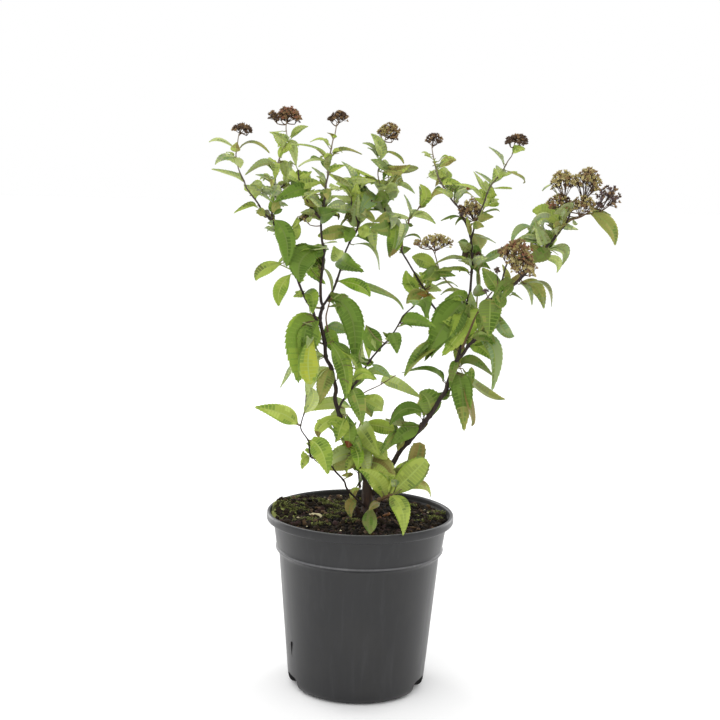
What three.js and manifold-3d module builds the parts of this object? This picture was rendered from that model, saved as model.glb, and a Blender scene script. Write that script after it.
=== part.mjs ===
// Spirea shrub in its nursery container: a small deciduous flowering shrub about
// 0.4 m tall above the soil, several thin arching stems from one woody stump,
// masses of toothed leaves along them and flat dried seed heads at the tips,
// in a round 3 litre plastic pot filled with potting soil.
//
// Units are millimetres, +Z is up, +Y points to the back. The origin is the
// centre of the pot's flat underside.

import * as THREE from 'three';
import { mergeVertices } from 'three/addons/utils/BufferGeometryUtils.js';
import Module from 'manifold-3d';

const wasm = await Module();
wasm.setup();

// ---------------------------------------------------------------- dimensions

const GAP = 0.4; // clearance between pieces that touch

// pot: 19 cm across the rim, 18 cm high
const POT = {
  height: 180,
  baseRadius: 62, // flat underside
  footRadius: 70.2, // wall just above the rounded bottom corner
  footHeight: 8,
  shoulderRadius: 81.8, // wall just under the stacking shoulder
  shoulderHeight: 137,
  bandLowRadius: 84.6, // upper band, from the shoulder to the lip
  bandHighRadius: 88,
  bandTop: 168,
  lipRadius: 95,
  lipLow: 171.5,
  mouthRadius: 91,
  wall: 2,
  floor: 2.6,
  segments: 30,
};
const DRAIN = { angles: [-158, -22, 90], width: 28, height: 14, slot: { angle: -151, width: 7, low: 35, high: 52 } };

// soil: fills the pot to a finger's width below the rim
const SOIL = { level: 173, uneven: 2.2, mound: { x: -58, y: 38, height: 6, spread: 24 }, rings: [0.24, 0.5, 0.76, 1] };

// stump: the woody foot that all the stems leave
const STUMP = { x: 9, y: -3, topX: 5, topY: 0, topZ: 209, footRadius: 8.5, flare: 5.5, topRadius: 3.6, sides: 9 };

const LIMB_SIDES = 6;
const LIMB_STEP = 32; // length of one facet along a limb

// Each limb runs between two ends; its quarter points bow off the straight line.
const LIMBS = {
  stem_left: { from: [5.1, 0, 211], to: [-42.5, -16, 390], bows: [[-5, -0.6, -0.9], [-9.8, -1, -1.8], [-8.3, -0.4, -1.5]], radii: [2.6, 1.9] },
  stem_left_upper: { from: [-42.5, -16, 390], to: [-32.1, -50, 569], bows: [[-3.4, 2, 0.5], [-7.5, 1.3, 0.6], [-5.7, 0.3, 0.6]], radii: [1.8, 1.0] },
  stem_left_back: { from: [-42.5, -16, 389], to: [-19.2, 92, 514], bows: [[7.3, 3.4, -4.1], [10.6, 4.7, -4.4], [10.3, 3.1, -3.8]], radii: [1.6, 1.0] },
  stem_outer_left: { from: [-44.1, -15, 374], to: [-92.5, -40, 474], bows: [[-2.7, -2.1, -2.5], [-1.2, -3.9, -1.8], [-0.5, -3.9, -1.4]], radii: [1.6, 1.3] },
  stem_outer_left_front: { from: [-92.5, -40, 474], to: [-120.4, -62, 559], bows: [[-7.9, -1.9, -3.2], [-12.9, -3.3, -4.2], [-12.3, -2.1, -2.3]], radii: [1.2, 0.9] },
  stem_outer_left_back: { from: [-92.5, -40, 473], to: [-86.1, 48, 575], bows: [[-3, -0.1, 0.3], [-3, 2, -1.2], [1.6, 2.2, -1.8]], radii: [1.2, 0.9] },
  stem_right: { from: [8, -1, 197], to: [92, -12, 340], bows: [[1.6, 0.8, -1], [4.4, 2, -2], [5.9, 0.8, -2.8]], radii: [3, 2.2] },
  stem_right_upper: { from: [92, -12, 340], to: [64, 82, 556], bows: [[16.9, -2.3, 2.6], [27.1, -2.8, 5.5], [10.7, -0.3, 1.3]], radii: [1.9, 1.0] },
  stem_right_front: { from: [104.5, 34, 457], to: [135.7, -58, 556], bows: [[-1.6, 3.9, 3.7], [-2.7, 3.3, 3.9], [1.2, 1.2, 0.7]], radii: [1.2, 0.9] },
  stem_right_outer: { from: [92, -12, 339], to: [187.6, -79, 494], bows: [[-0.9, 1.7, 1.9], [-0.5, 1.4, -0.2], [3.1, 0.5, -1.8]], radii: [1.9, 1.2] },
  stem_centre_back: { from: [95.6, -5.4, 355.4], to: [16.5, 115, 565], bows: [[-14.3, 7, -9.3], [-23.1, 11, -12.6], [-24.7, 10.9, -9.8]], radii: [1.4, 0.9] },
  stem_centre_front: { from: [-23.6, -9.2, 285.4], to: [45.6, -68, 398], bows: [[-2.2, -1.3, 0.6], [-3.3, -1.4, 1.4], [-1.1, -1.3, 0.2]], radii: [1.4, 0.9] },
  stalk_front: { from: [136.5, -43, 412], to: [134, -99, 443], bows: [[-3, -2, 0], [-4, -3, 1], [-2, -2, 1]], radii: [1.2, 1.0] },
  shoot_base_left: { from: [3.7, -3, 187], to: [-55.7, -47, 306], bows: [[-6.3, -2, -1.2], [-16.1, -7, -6.9], [-17.5, -6.5, -7.2]], radii: [1.3, 0.9] },
};

// Each mass is one or more lobes: an uneven ovoid between two ends, with its
// width across the front view and its depth from front to back.
const MASSES = {
  leaves_outer_left_front: [[[-103, -50, 478], [-126, -50, 544], 31, 38], [[-156, -58, 528], [-118, -58, 529], 27, 30]],
  leaves_outer_left_back: [[[-97, -12, 490], [-85, 34, 563], 34, 38], [[-90, 26, 540], [-58, 30, 557], 29, 32], [[-104, -8, 500], [-46, -8, 508], 20, 28]],
  leaves_outer_left_low: [[[-89, -42, 473], [-73, -42, 426], 23, 24], [[-109, -40, 420], [-77, -40, 437], 18, 20], [[-75, -36, 381], [-80, -38, 432], 16, 19]],
  leaves_left_inner: [[[-74, -18, 439], [-40, -18, 440], 23, 42], [[-57, -20, 399], [-62, -18, 438], 21, 34]],
  leaves_left_top: [[[-70, -42, 525], [-4, -42, 527], 31, 40], [[-54, -48, 544], [-16, -48, 545], 23, 30]],
  leaves_left_upper: [[[-60, -32, 471], [-42, -32, 503], 39, 32], [[-55, -28, 467], [-22, -28, 456], 18, 24]],
  leaves_back_left_top: [[[-43, 86, 504], [10, 86, 505], 38, 40], [[-18, 74, 490], [15, 74, 485], 23, 28]],
  leaves_back_left: [[[-43, 44, 457], [13, 46, 446], 24, 32], [[-40, 34, 446], [0, 32, 424], 27, 30]],
  leaves_left_centre: [[[-38, -10, 410], [-7, -16, 347], 23, 34], [[-40, -4, 411], [40, 0, 392], 20, 34]],
  leaves_left_big: [[[-54, -30, 318], [-61, -26, 396], 32, 40]],
  leaves_left_lower: [[[-74, -44, 307], [-20, -30, 291], 21, 22]],
  leaves_centre_low: [[[-33, -26, 360], [-13, -26, 304], 18, 20]],
  leaves_centre: [[[-15, -26, 319], [28, -26, 313], 25, 42], [[11, -8, 317], [57, -4, 302], 20, 46]],
  leaves_centre_tip: [[[18, -60, 376], [65, -60, 381], 17, 24], [[33, -54, 348], [27, -56, 378], 15, 20]],
  leaves_centre_back_top: [[[-20, 103, 521], [53, 103, 523], 28, 40], [[14, 110, 526], [5, 110, 567], 28, 32]],
  leaves_centre_back: [[[12, 93, 489], [67, 93, 490], 38, 40], [[26, 80, 434], [24, 88, 496], 22, 26]],
  leaves_right_mid_top: [[[46, 66, 523], [98, 65, 518], 31, 36], [[36, 73, 536], [73, 72, 541], 26, 26]],
  leaves_right_mid_upper: [[[92, 50, 469], [98, 50, 515], 41, 36]],
  leaves_right_front_top: [[[104, 6, 484], [141, -46, 549], 34, 34], [[97, 2, 493], [146, -6, 489], 24, 30]],
  leaves_right_middle: [[[46, 28, 424], [103, 28, 419], 30, 34], [[38, 34, 424], [66, 36, 390], 28, 26]],
  leaves_right_centre: [[[65, -12, 353], [103, -4, 406], 31, 46]],
  leaves_right_inner: [[[43, -2, 332], [83, -4, 353], 22, 42], [[49, -4, 324], [91, -6, 328], 19, 36]],
  leaves_right_hanging: [[[95, -18, 336], [102, -20, 271], 23, 30]],
  leaves_right_droop: [[[109, -24, 369], [134, -20, 310], 28, 44], [[100, -20, 321], [141, -20, 303], 22, 34]],
  leaves_right_outer_low: [[[117, -38, 408], [128, -38, 370], 23, 24], [[115, -44, 400], [179, -48, 402], 20, 26]],
  leaves_right_outer: [[[135, -68, 466], [188, -68, 477], 26, 32], [[173, -62, 466], [184, -60, 437], 23, 26]],
  leaves_right_tip: [[[199, -78, 504], [233, -78, 468], 17, 17]],
  leaves_right_behind: [[[90, 34, 445], [129, 32, 448], 30, 42]],
  leaves_under_right: [[[22, -2, 277], [68, -2, 299], 28, 46], [[18, 2, 259], [57, 2, 276], 24, 40]],
  leaf_far_left: [[[-104, -46, 293], [-55, -45, 275], 17, 15]],
  leaves_base_left: [[[-51, -38, 263], [-33, -38, 225], 17, 20]],
  leaves_base_centre: [[[-46, -14, 272], [-5, -10, 267], 28, 42], [[-18, -8, 268], [-12, 0, 219], 34, 40]],
  leaves_base_right: [[[14, -10, 201], [68, -22, 250], 26, 24]],
  leaves_base_front: [[[3, 3, 221], [25, -76, 182], 40, 16]],
  seed_head_1: [[[-130, -62, 560], [-109, -62, 561], 11, 18]],
  seed_head_2: [[[-105, 48, 576], [-69, 48, 582], 17, 30]],
  seed_head_3: [[[-41, -50, 573], [-20, -50, 574], 13, 18]],
  seed_head_4: [[[6, 115, 566], [31, 115, 567], 19, 22]],
  seed_head_5: [[[53, 82, 559], [76, 82, 560], 15, 20]],
  seed_head_6: [[[126, -58, 557], [148, -58, 558], 11, 20]],
  seed_head_outer: [[[163, -80, 517], [204, -80, 521], 21, 34], [[192, -78, 520], [235, -78, 508], 28, 34], [[163, -76, 500], [206, -78, 506], 22, 28]],
  seed_head_front: [[[124, -104, 461], [154, -104, 437], 31, 36]],
  seed_head_middle: [[[46, 34, 455], [90, 34, 457], 18, 34], [[67, 30, 428], [68, 34, 456], 10, 10]],
};

const UNEVEN = 0.15; // how far a mass's surface wanders, as a share of its radius
const LOBE = { around: 6, along: 5 }; // facets of a mass's main lobe
const SIDE_LOBE = { around: 6, along: 4 };

// ------------------------------------------------------------------- helpers

const V = (a) => new THREE.Vector3(a[0], a[1], a[2]);

function toSolid(geometry) {
  const g = geometry.clone();
  for (const name of Object.keys(g.attributes)) if (name !== 'position') g.deleteAttribute(name);
  const m = mergeVertices(g, 1e-4);
  return new wasm.Manifold(new wasm.Mesh({
    numProp: 3,
    vertProperties: new Float32Array(m.attributes.position.array),
    triVerts: new Uint32Array(m.index.array),
  }));
}

function toGeometry(solid) {
  const mesh = solid.getMesh();
  const g = new THREE.BufferGeometry();
  g.setAttribute('position', new THREE.BufferAttribute(new Float32Array(mesh.vertProperties), 3));
  g.setIndex(new THREE.BufferAttribute(new Uint32Array(mesh.triVerts), 1));
  g.computeVertexNormals();
  return g;
}

// Smooth wander in -1..1 over the unit sphere, a different one for each seed.
function wander(n, seed) {
  const s = seed * 1.7;
  return 0.5 * Math.sin(3.1 * n.x + 1.3 * n.z + s)
    + 0.3 * Math.sin(4.7 * n.y - 2.9 * n.x + 2.3 * s)
    + 0.2 * Math.sin(6.1 * n.z + 3.7 * n.y + 3.1 * s);
}

// A curve through the ends and the three bowed quarter points of a limb.
function limbCurve(limb, extra = 0) {
  const a = V(limb.from), b = V(limb.to);
  const points = [a, ...limb.bows.map((w, i) => a.clone().lerp(b, (i + 1) / 4).add(V(w))), b];
  if (extra) {
    points[0].add(points[0].clone().sub(points[1]).setLength(extra));
    points[4].add(points[4].clone().sub(points[3]).setLength(extra));
  }
  return new THREE.CatmullRomCurve3(points, false, 'centripetal');
}

// A round bar bent along a curve, tapering from one radius to the other.
function taperedBar(curve, r0, r1, sides, step) {
  const steps = Math.max(3, Math.round(curve.getLength() / step));
  const bar = new THREE.CylinderGeometry(1, 1, 1, sides, steps);
  const frames = curve.computeFrenetFrames(steps, false);
  const p = bar.attributes.position;
  for (let i = 0; i < p.count; i++) {
    const t = 0.5 - p.getY(i); // 1 at the cylinder's lower end
    const k = Math.round((1 - t) * steps);
    const u = k / steps;
    const c = curve.getPointAt(u);
    const r = r0 + (r1 - r0) * u;
    c.addScaledVector(frames.normals[k], p.getX(i) * r);
    c.addScaledVector(frames.binormals[k], -p.getZ(i) * r);
    p.setXYZ(i, c.x, c.y, c.z);
  }
  return bar;
}

function limbSolid(limb, grow = 0) {
  return toSolid(taperedBar(limbCurve(limb, grow), limb.radii[0] + grow, limb.radii[1] + grow, LIMB_SIDES, LIMB_STEP));
}

// An uneven ovoid between two ends.
function lobeSolid([from, to, wide, deep], facets, seed, grow = 0) {
  const a = V(from), b = V(to);
  const long = b.clone().sub(a);
  const half = new THREE.Vector3(long.length() / 2 + grow, wide / 2 + grow, deep / 2 + grow);
  const u = long.clone().normalize();
  const back = new THREE.Vector3(0, 1, 0).addScaledVector(u, -u.y).normalize();
  const side = u.clone().cross(back);
  const middle = a.clone().add(b).multiplyScalar(0.5);
  const ball = new THREE.SphereGeometry(1, facets.around, facets.along).rotateZ(-Math.PI / 2); // poles at the two ends
  const p = ball.attributes.position;
  const n = new THREE.Vector3();
  for (let i = 0; i < p.count; i++) {
    n.fromBufferAttribute(p, i);
    const r = 1 + UNEVEN * wander(n, seed);
    const q = middle.clone()
      .addScaledVector(u, n.x * half.x * r)
      .addScaledVector(side, n.z * half.y * r)
      .addScaledVector(back, n.y * half.z * r);
    p.setXYZ(i, q.x, q.y, q.z);
  }
  return toSolid(ball);
}

function massSolid(name, seed, grow = 0) {
  const main = name.startsWith('seed_head') ? SIDE_LOBE : LOBE;
  return MASSES[name].map((lobe, i) => lobeSolid(lobe, i ? SIDE_LOBE : main, seed + 5.3 * i, grow)).reduce((a, b) => a.add(b));
}

function box(solid) {
  const m = solid.getMesh(), low = [1e9, 1e9, 1e9], high = [-1e9, -1e9, -1e9];
  for (let i = 0; i < m.vertProperties.length; i++) {
    low[i % 3] = Math.min(low[i % 3], m.vertProperties[i]);
    high[i % 3] = Math.max(high[i % 3], m.vertProperties[i]);
  }
  return { low, high };
}
const near = (a, b) => [0, 1, 2].every((i) => a.low[i] < b.high[i] && b.low[i] < a.high[i]);

const group = new THREE.Group();
function place(name, solid, material) {
  const mesh = new THREE.Mesh(toGeometry(solid), material);
  mesh.name = name;
  group.add(mesh);
}

const plastic = new THREE.MeshStandardMaterial({ color: 0x2f3133, roughness: 0.45, metalness: 0 });
const peat = new THREE.MeshStandardMaterial({ color: 0x2a2019, roughness: 1, metalness: 0 });
const bark = new THREE.MeshStandardMaterial({ color: 0x4a342c, roughness: 0.85, metalness: 0 });
const leaf = new THREE.MeshStandardMaterial({ color: 0x6f8f34, roughness: 0.6, metalness: 0 });
const seed = new THREE.MeshStandardMaterial({ color: 0x4a2c24, roughness: 0.9, metalness: 0 });

// ----------------------------------------------------------------------- pot

const P = POT;
const innerProfile = [
  [P.mouthRadius, P.height - 2], [P.mouthRadius - 1, P.height - 5], [P.bandHighRadius - P.wall, P.bandTop - 1],
  [P.bandLowRadius - P.wall - 0.4, P.shoulderHeight + 6.5], [P.shoulderRadius - P.wall, P.shoulderHeight - 1.5],
  [P.footRadius - P.wall, P.footHeight + 1.5], [P.baseRadius + 3, P.floor + 1.6], [P.baseRadius - 2, P.floor],
];
const outerProfile = [
  [P.baseRadius, 0], [P.baseRadius + 5.4, 2.4], [P.footRadius, P.footHeight],
  [P.shoulderRadius, P.shoulderHeight], [P.bandLowRadius - 0.4, P.shoulderHeight + 4], [P.bandLowRadius + 0.7, P.shoulderHeight + 6.4],
  [P.bandLowRadius, P.shoulderHeight + 8], [P.bandHighRadius, P.bandTop], [P.bandHighRadius + 1.4, P.lipLow - 1],
  [P.lipRadius - 0.8, P.lipLow], [P.lipRadius, P.lipLow + 1.2], [P.lipRadius, P.height - 1.6],
  [P.lipRadius - 1.6, P.height], [P.mouthRadius + 0.6, P.height],
];
const spin = (profile, segments) => new THREE.LatheGeometry(profile.map(([r, z]) => new THREE.Vector2(r, z)), segments).rotateX(Math.PI / 2);

let pot = toSolid(spin([[0, 0], ...outerProfile, ...innerProfile, [0, P.floor]], P.segments));
for (const angle of DRAIN.angles) {
  const cut = new THREE.BoxGeometry(16, DRAIN.width, DRAIN.height);
  cut.translate(P.footRadius + 1, 0, DRAIN.height / 2 - 0.5).rotateZ(THREE.MathUtils.degToRad(angle));
  pot = pot.subtract(toSolid(cut));
}
const S = DRAIN.slot;
const slotCut = new THREE.BoxGeometry(16, S.width, S.high - S.low);
slotCut.translate(P.footRadius + 2, 0, (S.low + S.high) / 2).rotateZ(THREE.MathUtils.degToRad(S.angle));
pot = pot.subtract(toSolid(slotCut));
place('pot', pot, plastic);

// ---------------------------------------------------------------------- soil

// The root ball fills the pot's inside; its top is uneven, with one low mound,
// and is flat round the stump.
function soilTop(x, y) {
  const d = Math.hypot(x - STUMP.x, y - STUMP.y);
  const away = THREE.MathUtils.smoothstep(d, STUMP.footRadius + STUMP.flare + 4, 40);
  const lumps = Math.sin(x / 9 + 1.1) * Math.cos(y / 11 - 0.4) + 0.6 * Math.sin(x / 17 - y / 13 + 2);
  const m = SOIL.mound;
  const mound = m.height * Math.exp(-((x - m.x) ** 2 + (y - m.y) ** 2) / (2 * m.spread ** 2));
  return SOIL.level + away * (SOIL.uneven * 0.6 * lumps + mound);
}
{
  const c = GAP;
  const inner = innerProfile.slice().reverse().map(([r, z]) => [r - c, z]).filter(([, z]) => z < SOIL.level - 4);
  inner[0][1] += c; // the bottom stands clear of the floor
  inner[1][1] += c;
  const edge = P.bandHighRadius - P.wall - c + 1.0;
  const profile = [[0, P.floor + c], ...inner, [edge, SOIL.level - 2]];
  const rings = SOIL.rings.slice().reverse().map((k) => [edge * k * 0.985, SOIL.level]);
  const ball = spin([...profile, ...rings, [0, SOIL.level]], P.segments);
  const p = ball.attributes.position;
  for (let i = 0; i < p.count; i++) {
    if (p.getZ(i) > SOIL.level - 0.5) p.setZ(i, soilTop(p.getX(i), p.getY(i)));
  }
  place('root_ball', toSolid(ball), peat);
}

// --------------------------------------------------------------- stump, stems

// The stump leans and tapers, with a flare of a few buttresses at the soil.
function stumpSolid(grow = 0) {
  const s = STUMP, h = s.topZ - SOIL.level - GAP;
  const trunk = new THREE.CylinderGeometry(1, 1, 1, s.sides, 5);
  const p = trunk.attributes.position;
  for (let i = 0; i < p.count; i++) {
    const t = p.getY(i) + 0.5; // 0 at the soil, 1 at the top
    const a = Math.atan2(p.getZ(i), p.getX(i));
    const on = Math.hypot(p.getX(i), p.getZ(i));
    const flare = s.flare * (1 - t) ** 4 * (0.6 + 0.4 * Math.cos(3 * a + 0.8));
    const r = on * (s.topRadius + (s.footRadius - s.topRadius) * (1 - t) ** 1.3 + flare + grow);
    p.setXYZ(i, THREE.MathUtils.lerp(s.x, s.topX, t) + r * Math.cos(a), THREE.MathUtils.lerp(s.y, s.topY, t) - r * Math.sin(a),
      SOIL.level + GAP + t * (h + 2 * grow) - grow);
  }
  return toSolid(trunk);
}

const done = [{ name: 'stump', grown: stumpSolid(GAP) }];
place('stump', stumpSolid(), bark);

for (const [name, limb] of Object.entries(LIMBS)) {
  let solid = limbSolid(limb);
  for (const other of done) if (near(box(solid), box(other.grown))) solid = solid.subtract(other.grown);
  place(name, solid, bark);
  done.push({ name, grown: limbSolid(limb, GAP) });
}

// -------------------------------------------------------------------- masses

Object.keys(MASSES).forEach((name, i) => {
  const head = name.startsWith('seed_head');
  let solid = massSolid(name, i + 1);
  for (const other of done) if (near(box(solid), box(other.grown))) solid = solid.subtract(other.grown);
  place(name, solid, head ? seed : leaf);
  done.push({ name, grown: massSolid(name, i + 1, GAP + 0.15) });
});

export default group;
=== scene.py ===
"""A young spirea shrub in its round nursery pot, late in the season.

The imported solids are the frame. Every limb gets a bark mesh along its own line, every mass of
leaves is replaced by separate toothed leaves that grow on from the limbs, and every seed head
is replaced by branching stalks with dry follicles.
"""

import math
import random

import bmesh
import bpy
import numpy as np
from mathutils import Matrix, Vector, noise
from mathutils.bvhtree import BVHTree


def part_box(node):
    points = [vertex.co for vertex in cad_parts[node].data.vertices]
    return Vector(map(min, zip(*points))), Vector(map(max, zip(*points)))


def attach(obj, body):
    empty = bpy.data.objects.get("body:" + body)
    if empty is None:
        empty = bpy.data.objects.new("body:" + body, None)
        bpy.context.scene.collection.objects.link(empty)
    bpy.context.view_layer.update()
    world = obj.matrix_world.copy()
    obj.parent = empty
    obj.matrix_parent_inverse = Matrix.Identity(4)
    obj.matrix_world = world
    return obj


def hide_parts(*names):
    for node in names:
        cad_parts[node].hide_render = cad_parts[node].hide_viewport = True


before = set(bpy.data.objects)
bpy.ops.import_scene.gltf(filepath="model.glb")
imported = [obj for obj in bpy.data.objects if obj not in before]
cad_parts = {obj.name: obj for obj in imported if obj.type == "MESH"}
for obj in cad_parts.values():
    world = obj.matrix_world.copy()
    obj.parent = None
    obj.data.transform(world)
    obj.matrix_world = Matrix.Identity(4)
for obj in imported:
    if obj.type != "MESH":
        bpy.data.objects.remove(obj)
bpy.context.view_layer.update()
MM = 0.001

# ------------------------------------------------------------------ camera
FOCAL = 1306.5                      # pixels, for a 720 pixel wide picture
EYE = np.array((6.5, -1300.0, 514.9))
PITCH, YAW, ROLL = math.radians(7.87), math.radians(0.489), math.radians(1.61)
_cp, _sp, _cy, _sy = math.cos(PITCH), math.sin(PITCH), math.cos(YAW), math.sin(YAW)
CR, SR = math.cos(ROLL), math.sin(ROLL)
FWD = np.array((-_sy * _cp, _cy * _cp, -_sp))
RIGHT = np.array((_cy, _sy, 0.0))
UP = np.array((-_sy * _sp, _cy * _sp, _cp))


def place(px, py, depth):
    """The point at that pixel whose Y is depth, in mm."""
    u, v = px - 360, py - 360
    x, y = u * CR + v * SR, -u * SR + v * CR
    d = FWD * FOCAL + RIGHT * x - UP * y
    return EYE + d * ((depth - EYE[1]) / d[1])


def pixel(p):
    d = np.asarray(p, float) - EYE
    z = d @ FWD
    x, y = FOCAL * (d @ RIGHT) / z, -FOCAL * (d @ UP) / z
    return 360 + CR * x - SR * y, 360 + SR * x + CR * y


cam_data = bpy.data.cameras.new("camera")
cam_data.sensor_width = 36.0
cam_data.sensor_fit = "HORIZONTAL"
cam_data.lens = 36.0 * FOCAL / 720.0
cam_data.clip_start, cam_data.clip_end = 0.05, 60.0
camera = bpy.data.objects.new("camera", cam_data)
_r, _u = CR * RIGHT + SR * UP, -SR * RIGHT + CR * UP
_e = EYE * MM
camera.matrix_world = Matrix((
    (_r[0], _u[0], -FWD[0], _e[0]),
    (_r[1], _u[1], -FWD[1], _e[1]),
    (_r[2], _u[2], -FWD[2], _e[2]),
    (0, 0, 0, 1)))
bpy.context.scene.collection.objects.link(camera)
bpy.context.scene.camera = camera


# ------------------------------------------------------------------ materials
def lin(rgb):
    out = []
    for c in rgb:
        c = c / 255.0
        out.append(c / 12.92 if c <= 0.04045 else ((c + 0.055) / 1.055) ** 2.4)
    return (*out, 1.0)


def new_material(name):
    m = bpy.data.materials.new(name)
    m.use_nodes = True
    nt = m.node_tree
    return m, nt, nt.nodes["Principled BSDF"]


def add_noise(nt, scale, detail=4.0, rough=0.55, stretch=None, distortion=0.0):
    """A noise texture in object space; scale is in waves for each metre."""
    tc = nt.nodes.new("ShaderNodeTexCoord")
    n = nt.nodes.new("ShaderNodeTexNoise")
    n.inputs["Scale"].default_value = scale
    n.inputs["Detail"].default_value = detail
    n.inputs["Roughness"].default_value = rough
    n.inputs["Distortion"].default_value = distortion
    if stretch:
        mp = nt.nodes.new("ShaderNodeMapping")
        mp.inputs["Scale"].default_value = stretch
        nt.links.new(tc.outputs["Object"], mp.inputs["Vector"])
        nt.links.new(mp.outputs["Vector"], n.inputs["Vector"])
    else:
        nt.links.new(tc.outputs["Object"], n.inputs["Vector"])
    return n


def ramp(nt, fac, stops):
    r = nt.nodes.new("ShaderNodeValToRGB")
    els = r.color_ramp.elements
    while len(els) < len(stops):
        els.new(0.5)
    for e, (pos, col) in zip(els, stops):
        e.position = pos
        e.color = col
    nt.links.new(fac, r.inputs["Fac"])
    return r


def map_range(nt, fac, lo, hi, from_lo=0.3, from_hi=0.7):
    r = nt.nodes.new("ShaderNodeMapRange")
    r.inputs["From Min"].default_value = from_lo
    r.inputs["From Max"].default_value = from_hi
    r.inputs["To Min"].default_value = lo
    r.inputs["To Max"].default_value = hi
    nt.links.new(fac, r.inputs["Value"])
    return r


def mix_rgb(nt, fac, a, b):
    """A colour mix; a and b are sockets or plain colours."""
    m = nt.nodes.new("ShaderNodeMix")
    m.data_type = "RGBA"
    nt.links.new(fac, m.inputs[0])
    for i, c in ((6, a), (7, b)):
        if isinstance(c, tuple):
            m.inputs[i].default_value = c
        else:
            nt.links.new(c, m.inputs[i])
    return m.outputs[2]


def bump(nt, bsdf, height, strength, distance):
    b = nt.nodes.new("ShaderNodeBump")
    b.inputs["Strength"].default_value = strength
    b.inputs["Distance"].default_value = distance
    nt.links.new(height, b.inputs["Height"])
    nt.links.new(b.outputs["Normal"], bsdf.inputs["Normal"])
    return b


def leaf_material(name, seen, rough=(0.42, 0.6), glow=0.1, spec=0.2):
    """Thin leaf: one plain colour, with its gloss and its fine net of veins from nodes. seen is the colour under plain light."""
    m, nt, bsdf = new_material(name)
    bsdf.inputs["Base Color"].default_value = (*(max(0.006, (c - 0.02) / 0.95) for c in lin(seen)[:3]), 1.0)
    bsdf.inputs["Specular IOR Level"].default_value = spec
    bsdf.inputs["Subsurface Weight"].default_value = glow
    bsdf.inputs["Subsurface Radius"].default_value = (0.5, 0.8, 0.15)
    bsdf.inputs["Subsurface Scale"].default_value = 0.0012
    n = add_noise(nt, 420.0, 3.0)
    r = map_range(nt, n.outputs["Fac"], rough[0], rough[1])
    nt.links.new(r.outputs["Result"], bsdf.inputs["Roughness"])
    v = nt.nodes.new("ShaderNodeTexVoronoi")
    v.inputs["Scale"].default_value = 780.0
    tc = nt.nodes.new("ShaderNodeTexCoord")
    nt.links.new(tc.outputs["Object"], v.inputs["Vector"])
    bump(nt, bsdf, v.outputs["Distance"], 0.35, 0.0003)
    return m


# Each tint of leaf: its colour, the tint of its side veins, the tint along its edge, its underside and its rib.
TINTS = {
    "lime":   ((171, 185, 92), "v_lime", "spring", "u_lime", "r_pale"),
    "spring": ((157, 171, 82), "v_spring", "fresh", "u_lime", "r_light"),
    "fresh":  ((139, 159, 70), "v_fresh", "green", "u_fresh", "r_light"),
    "bright": ((126, 156, 58), "v_fresh", "green", "u_fresh", "r_light"),
    "green":  ((119, 142, 64), "v_green", "mid", "u_fresh", "r_mid"),
    "mid":    ((104, 129, 58), "v_mid", "deep", "u_green", "r_dark"),
    "deep":   ((86, 108, 50), "v_deep", "deep", "u_green", "r_dark"),
    "grey":   ((140, 154, 104), "v_grey", "green", "u_grey", "r_mid"),
    "ash":    ((154, 162, 126), "v_grey", "grey", "u_grey", "r_light"),
    "blue":   ((124, 146, 100), "v_grey", "green", "u_grey", "r_mid"),
    "olive":  ((141, 144, 80), "v_olive", "olive", "u_olive", "r_mid"),
    "dusk":   ((110, 116, 68), "v_mid", "dusk", "u_olive", "r_dark"),
    "brown":  ((128, 116, 68), "v_brown", "dusk", "u_brown", "r_dark"),
    "rust":   ((146, 112, 62), "v_brown", "brown", "u_brown", "r_mid"),
    "red":    ((112, 68, 48), "red", "v_red", "u_brown", "v_brown"),
    "yellow": ((158, 167, 68), "v_spring", "spring", "u_lime", "r_light"),
    "pale":   ((186, 196, 134), "pale", "lime", "u_lime", "r_pale"),
    "straw":  ((158, 154, 92), "v_olive", "olive", "u_olive", "r_light"),
    "dark":   ((72, 68, 46), "dusk", "dark", "u_brown", "r_dark"),
    "mint":   ((167, 177, 116), "v_lime", "spring", "u_lime", "r_pale"),
    "apple":  ((145, 159, 82), "v_spring", "fresh", "u_lime", "r_light"),
    "fern":   ((116, 132, 72), "v_green", "mid", "u_green", "r_mid"),
    "sage":   ((129, 134, 89), "v_olive", "fern", "u_grey", "r_mid"),
    "bottle": ((99, 121, 57), "v_mid", "deep", "u_green", "r_dark"),
    "lemon":  ((171, 178, 72), "v_lime", "yellow", "u_lime", "r_light"),
}
VEINS = {"v_lime": (176, 190, 99), "v_spring": (162, 176, 88), "v_fresh": (144, 164, 76), "v_green": (125, 147, 69), "v_mid": (110, 134, 63),
         "v_deep": (92, 114, 55), "v_grey": (144, 158, 109), "v_olive": (146, 148, 86), "v_brown": (136, 124, 76), "v_red": (92, 58, 44)}
BACKS = {"u_lime": (172, 184, 116), "u_fresh": (148, 164, 98), "u_green": (124, 142, 86), "u_grey": (148, 158, 120),
         "u_olive": (138, 138, 92), "u_brown": (118, 100, 72)}
RIBS = {"r_pale": (186, 198, 116), "r_light": (162, 178, 96), "r_mid": (138, 156, 84), "r_dark": (112, 130, 70)}
LEAF_SLOTS = {}
leaf_mats = []
for name, entry in TINTS.items():
    LEAF_SLOTS[name] = len(leaf_mats)
    leaf_mats.append(leaf_material("leaf_" + name, entry[0]))
for name, rgb in VEINS.items():
    LEAF_SLOTS[name] = len(leaf_mats)
    leaf_mats.append(leaf_material("leaf_" + name, rgb))
for name, rgb in BACKS.items():
    LEAF_SLOTS[name] = len(leaf_mats)
    leaf_mats.append(leaf_material("leaf_" + name, rgb, (0.6, 0.78), 0.1, 0.15))
for name, rgb in RIBS.items():
    LEAF_SLOTS[name] = len(leaf_mats)
    leaf_mats.append(leaf_material("leaf_" + name, rgb, (0.5, 0.65), 0.08, 0.2))
UPPER = {t: LEAF_SLOTS[t] for t in TINTS}
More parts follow.
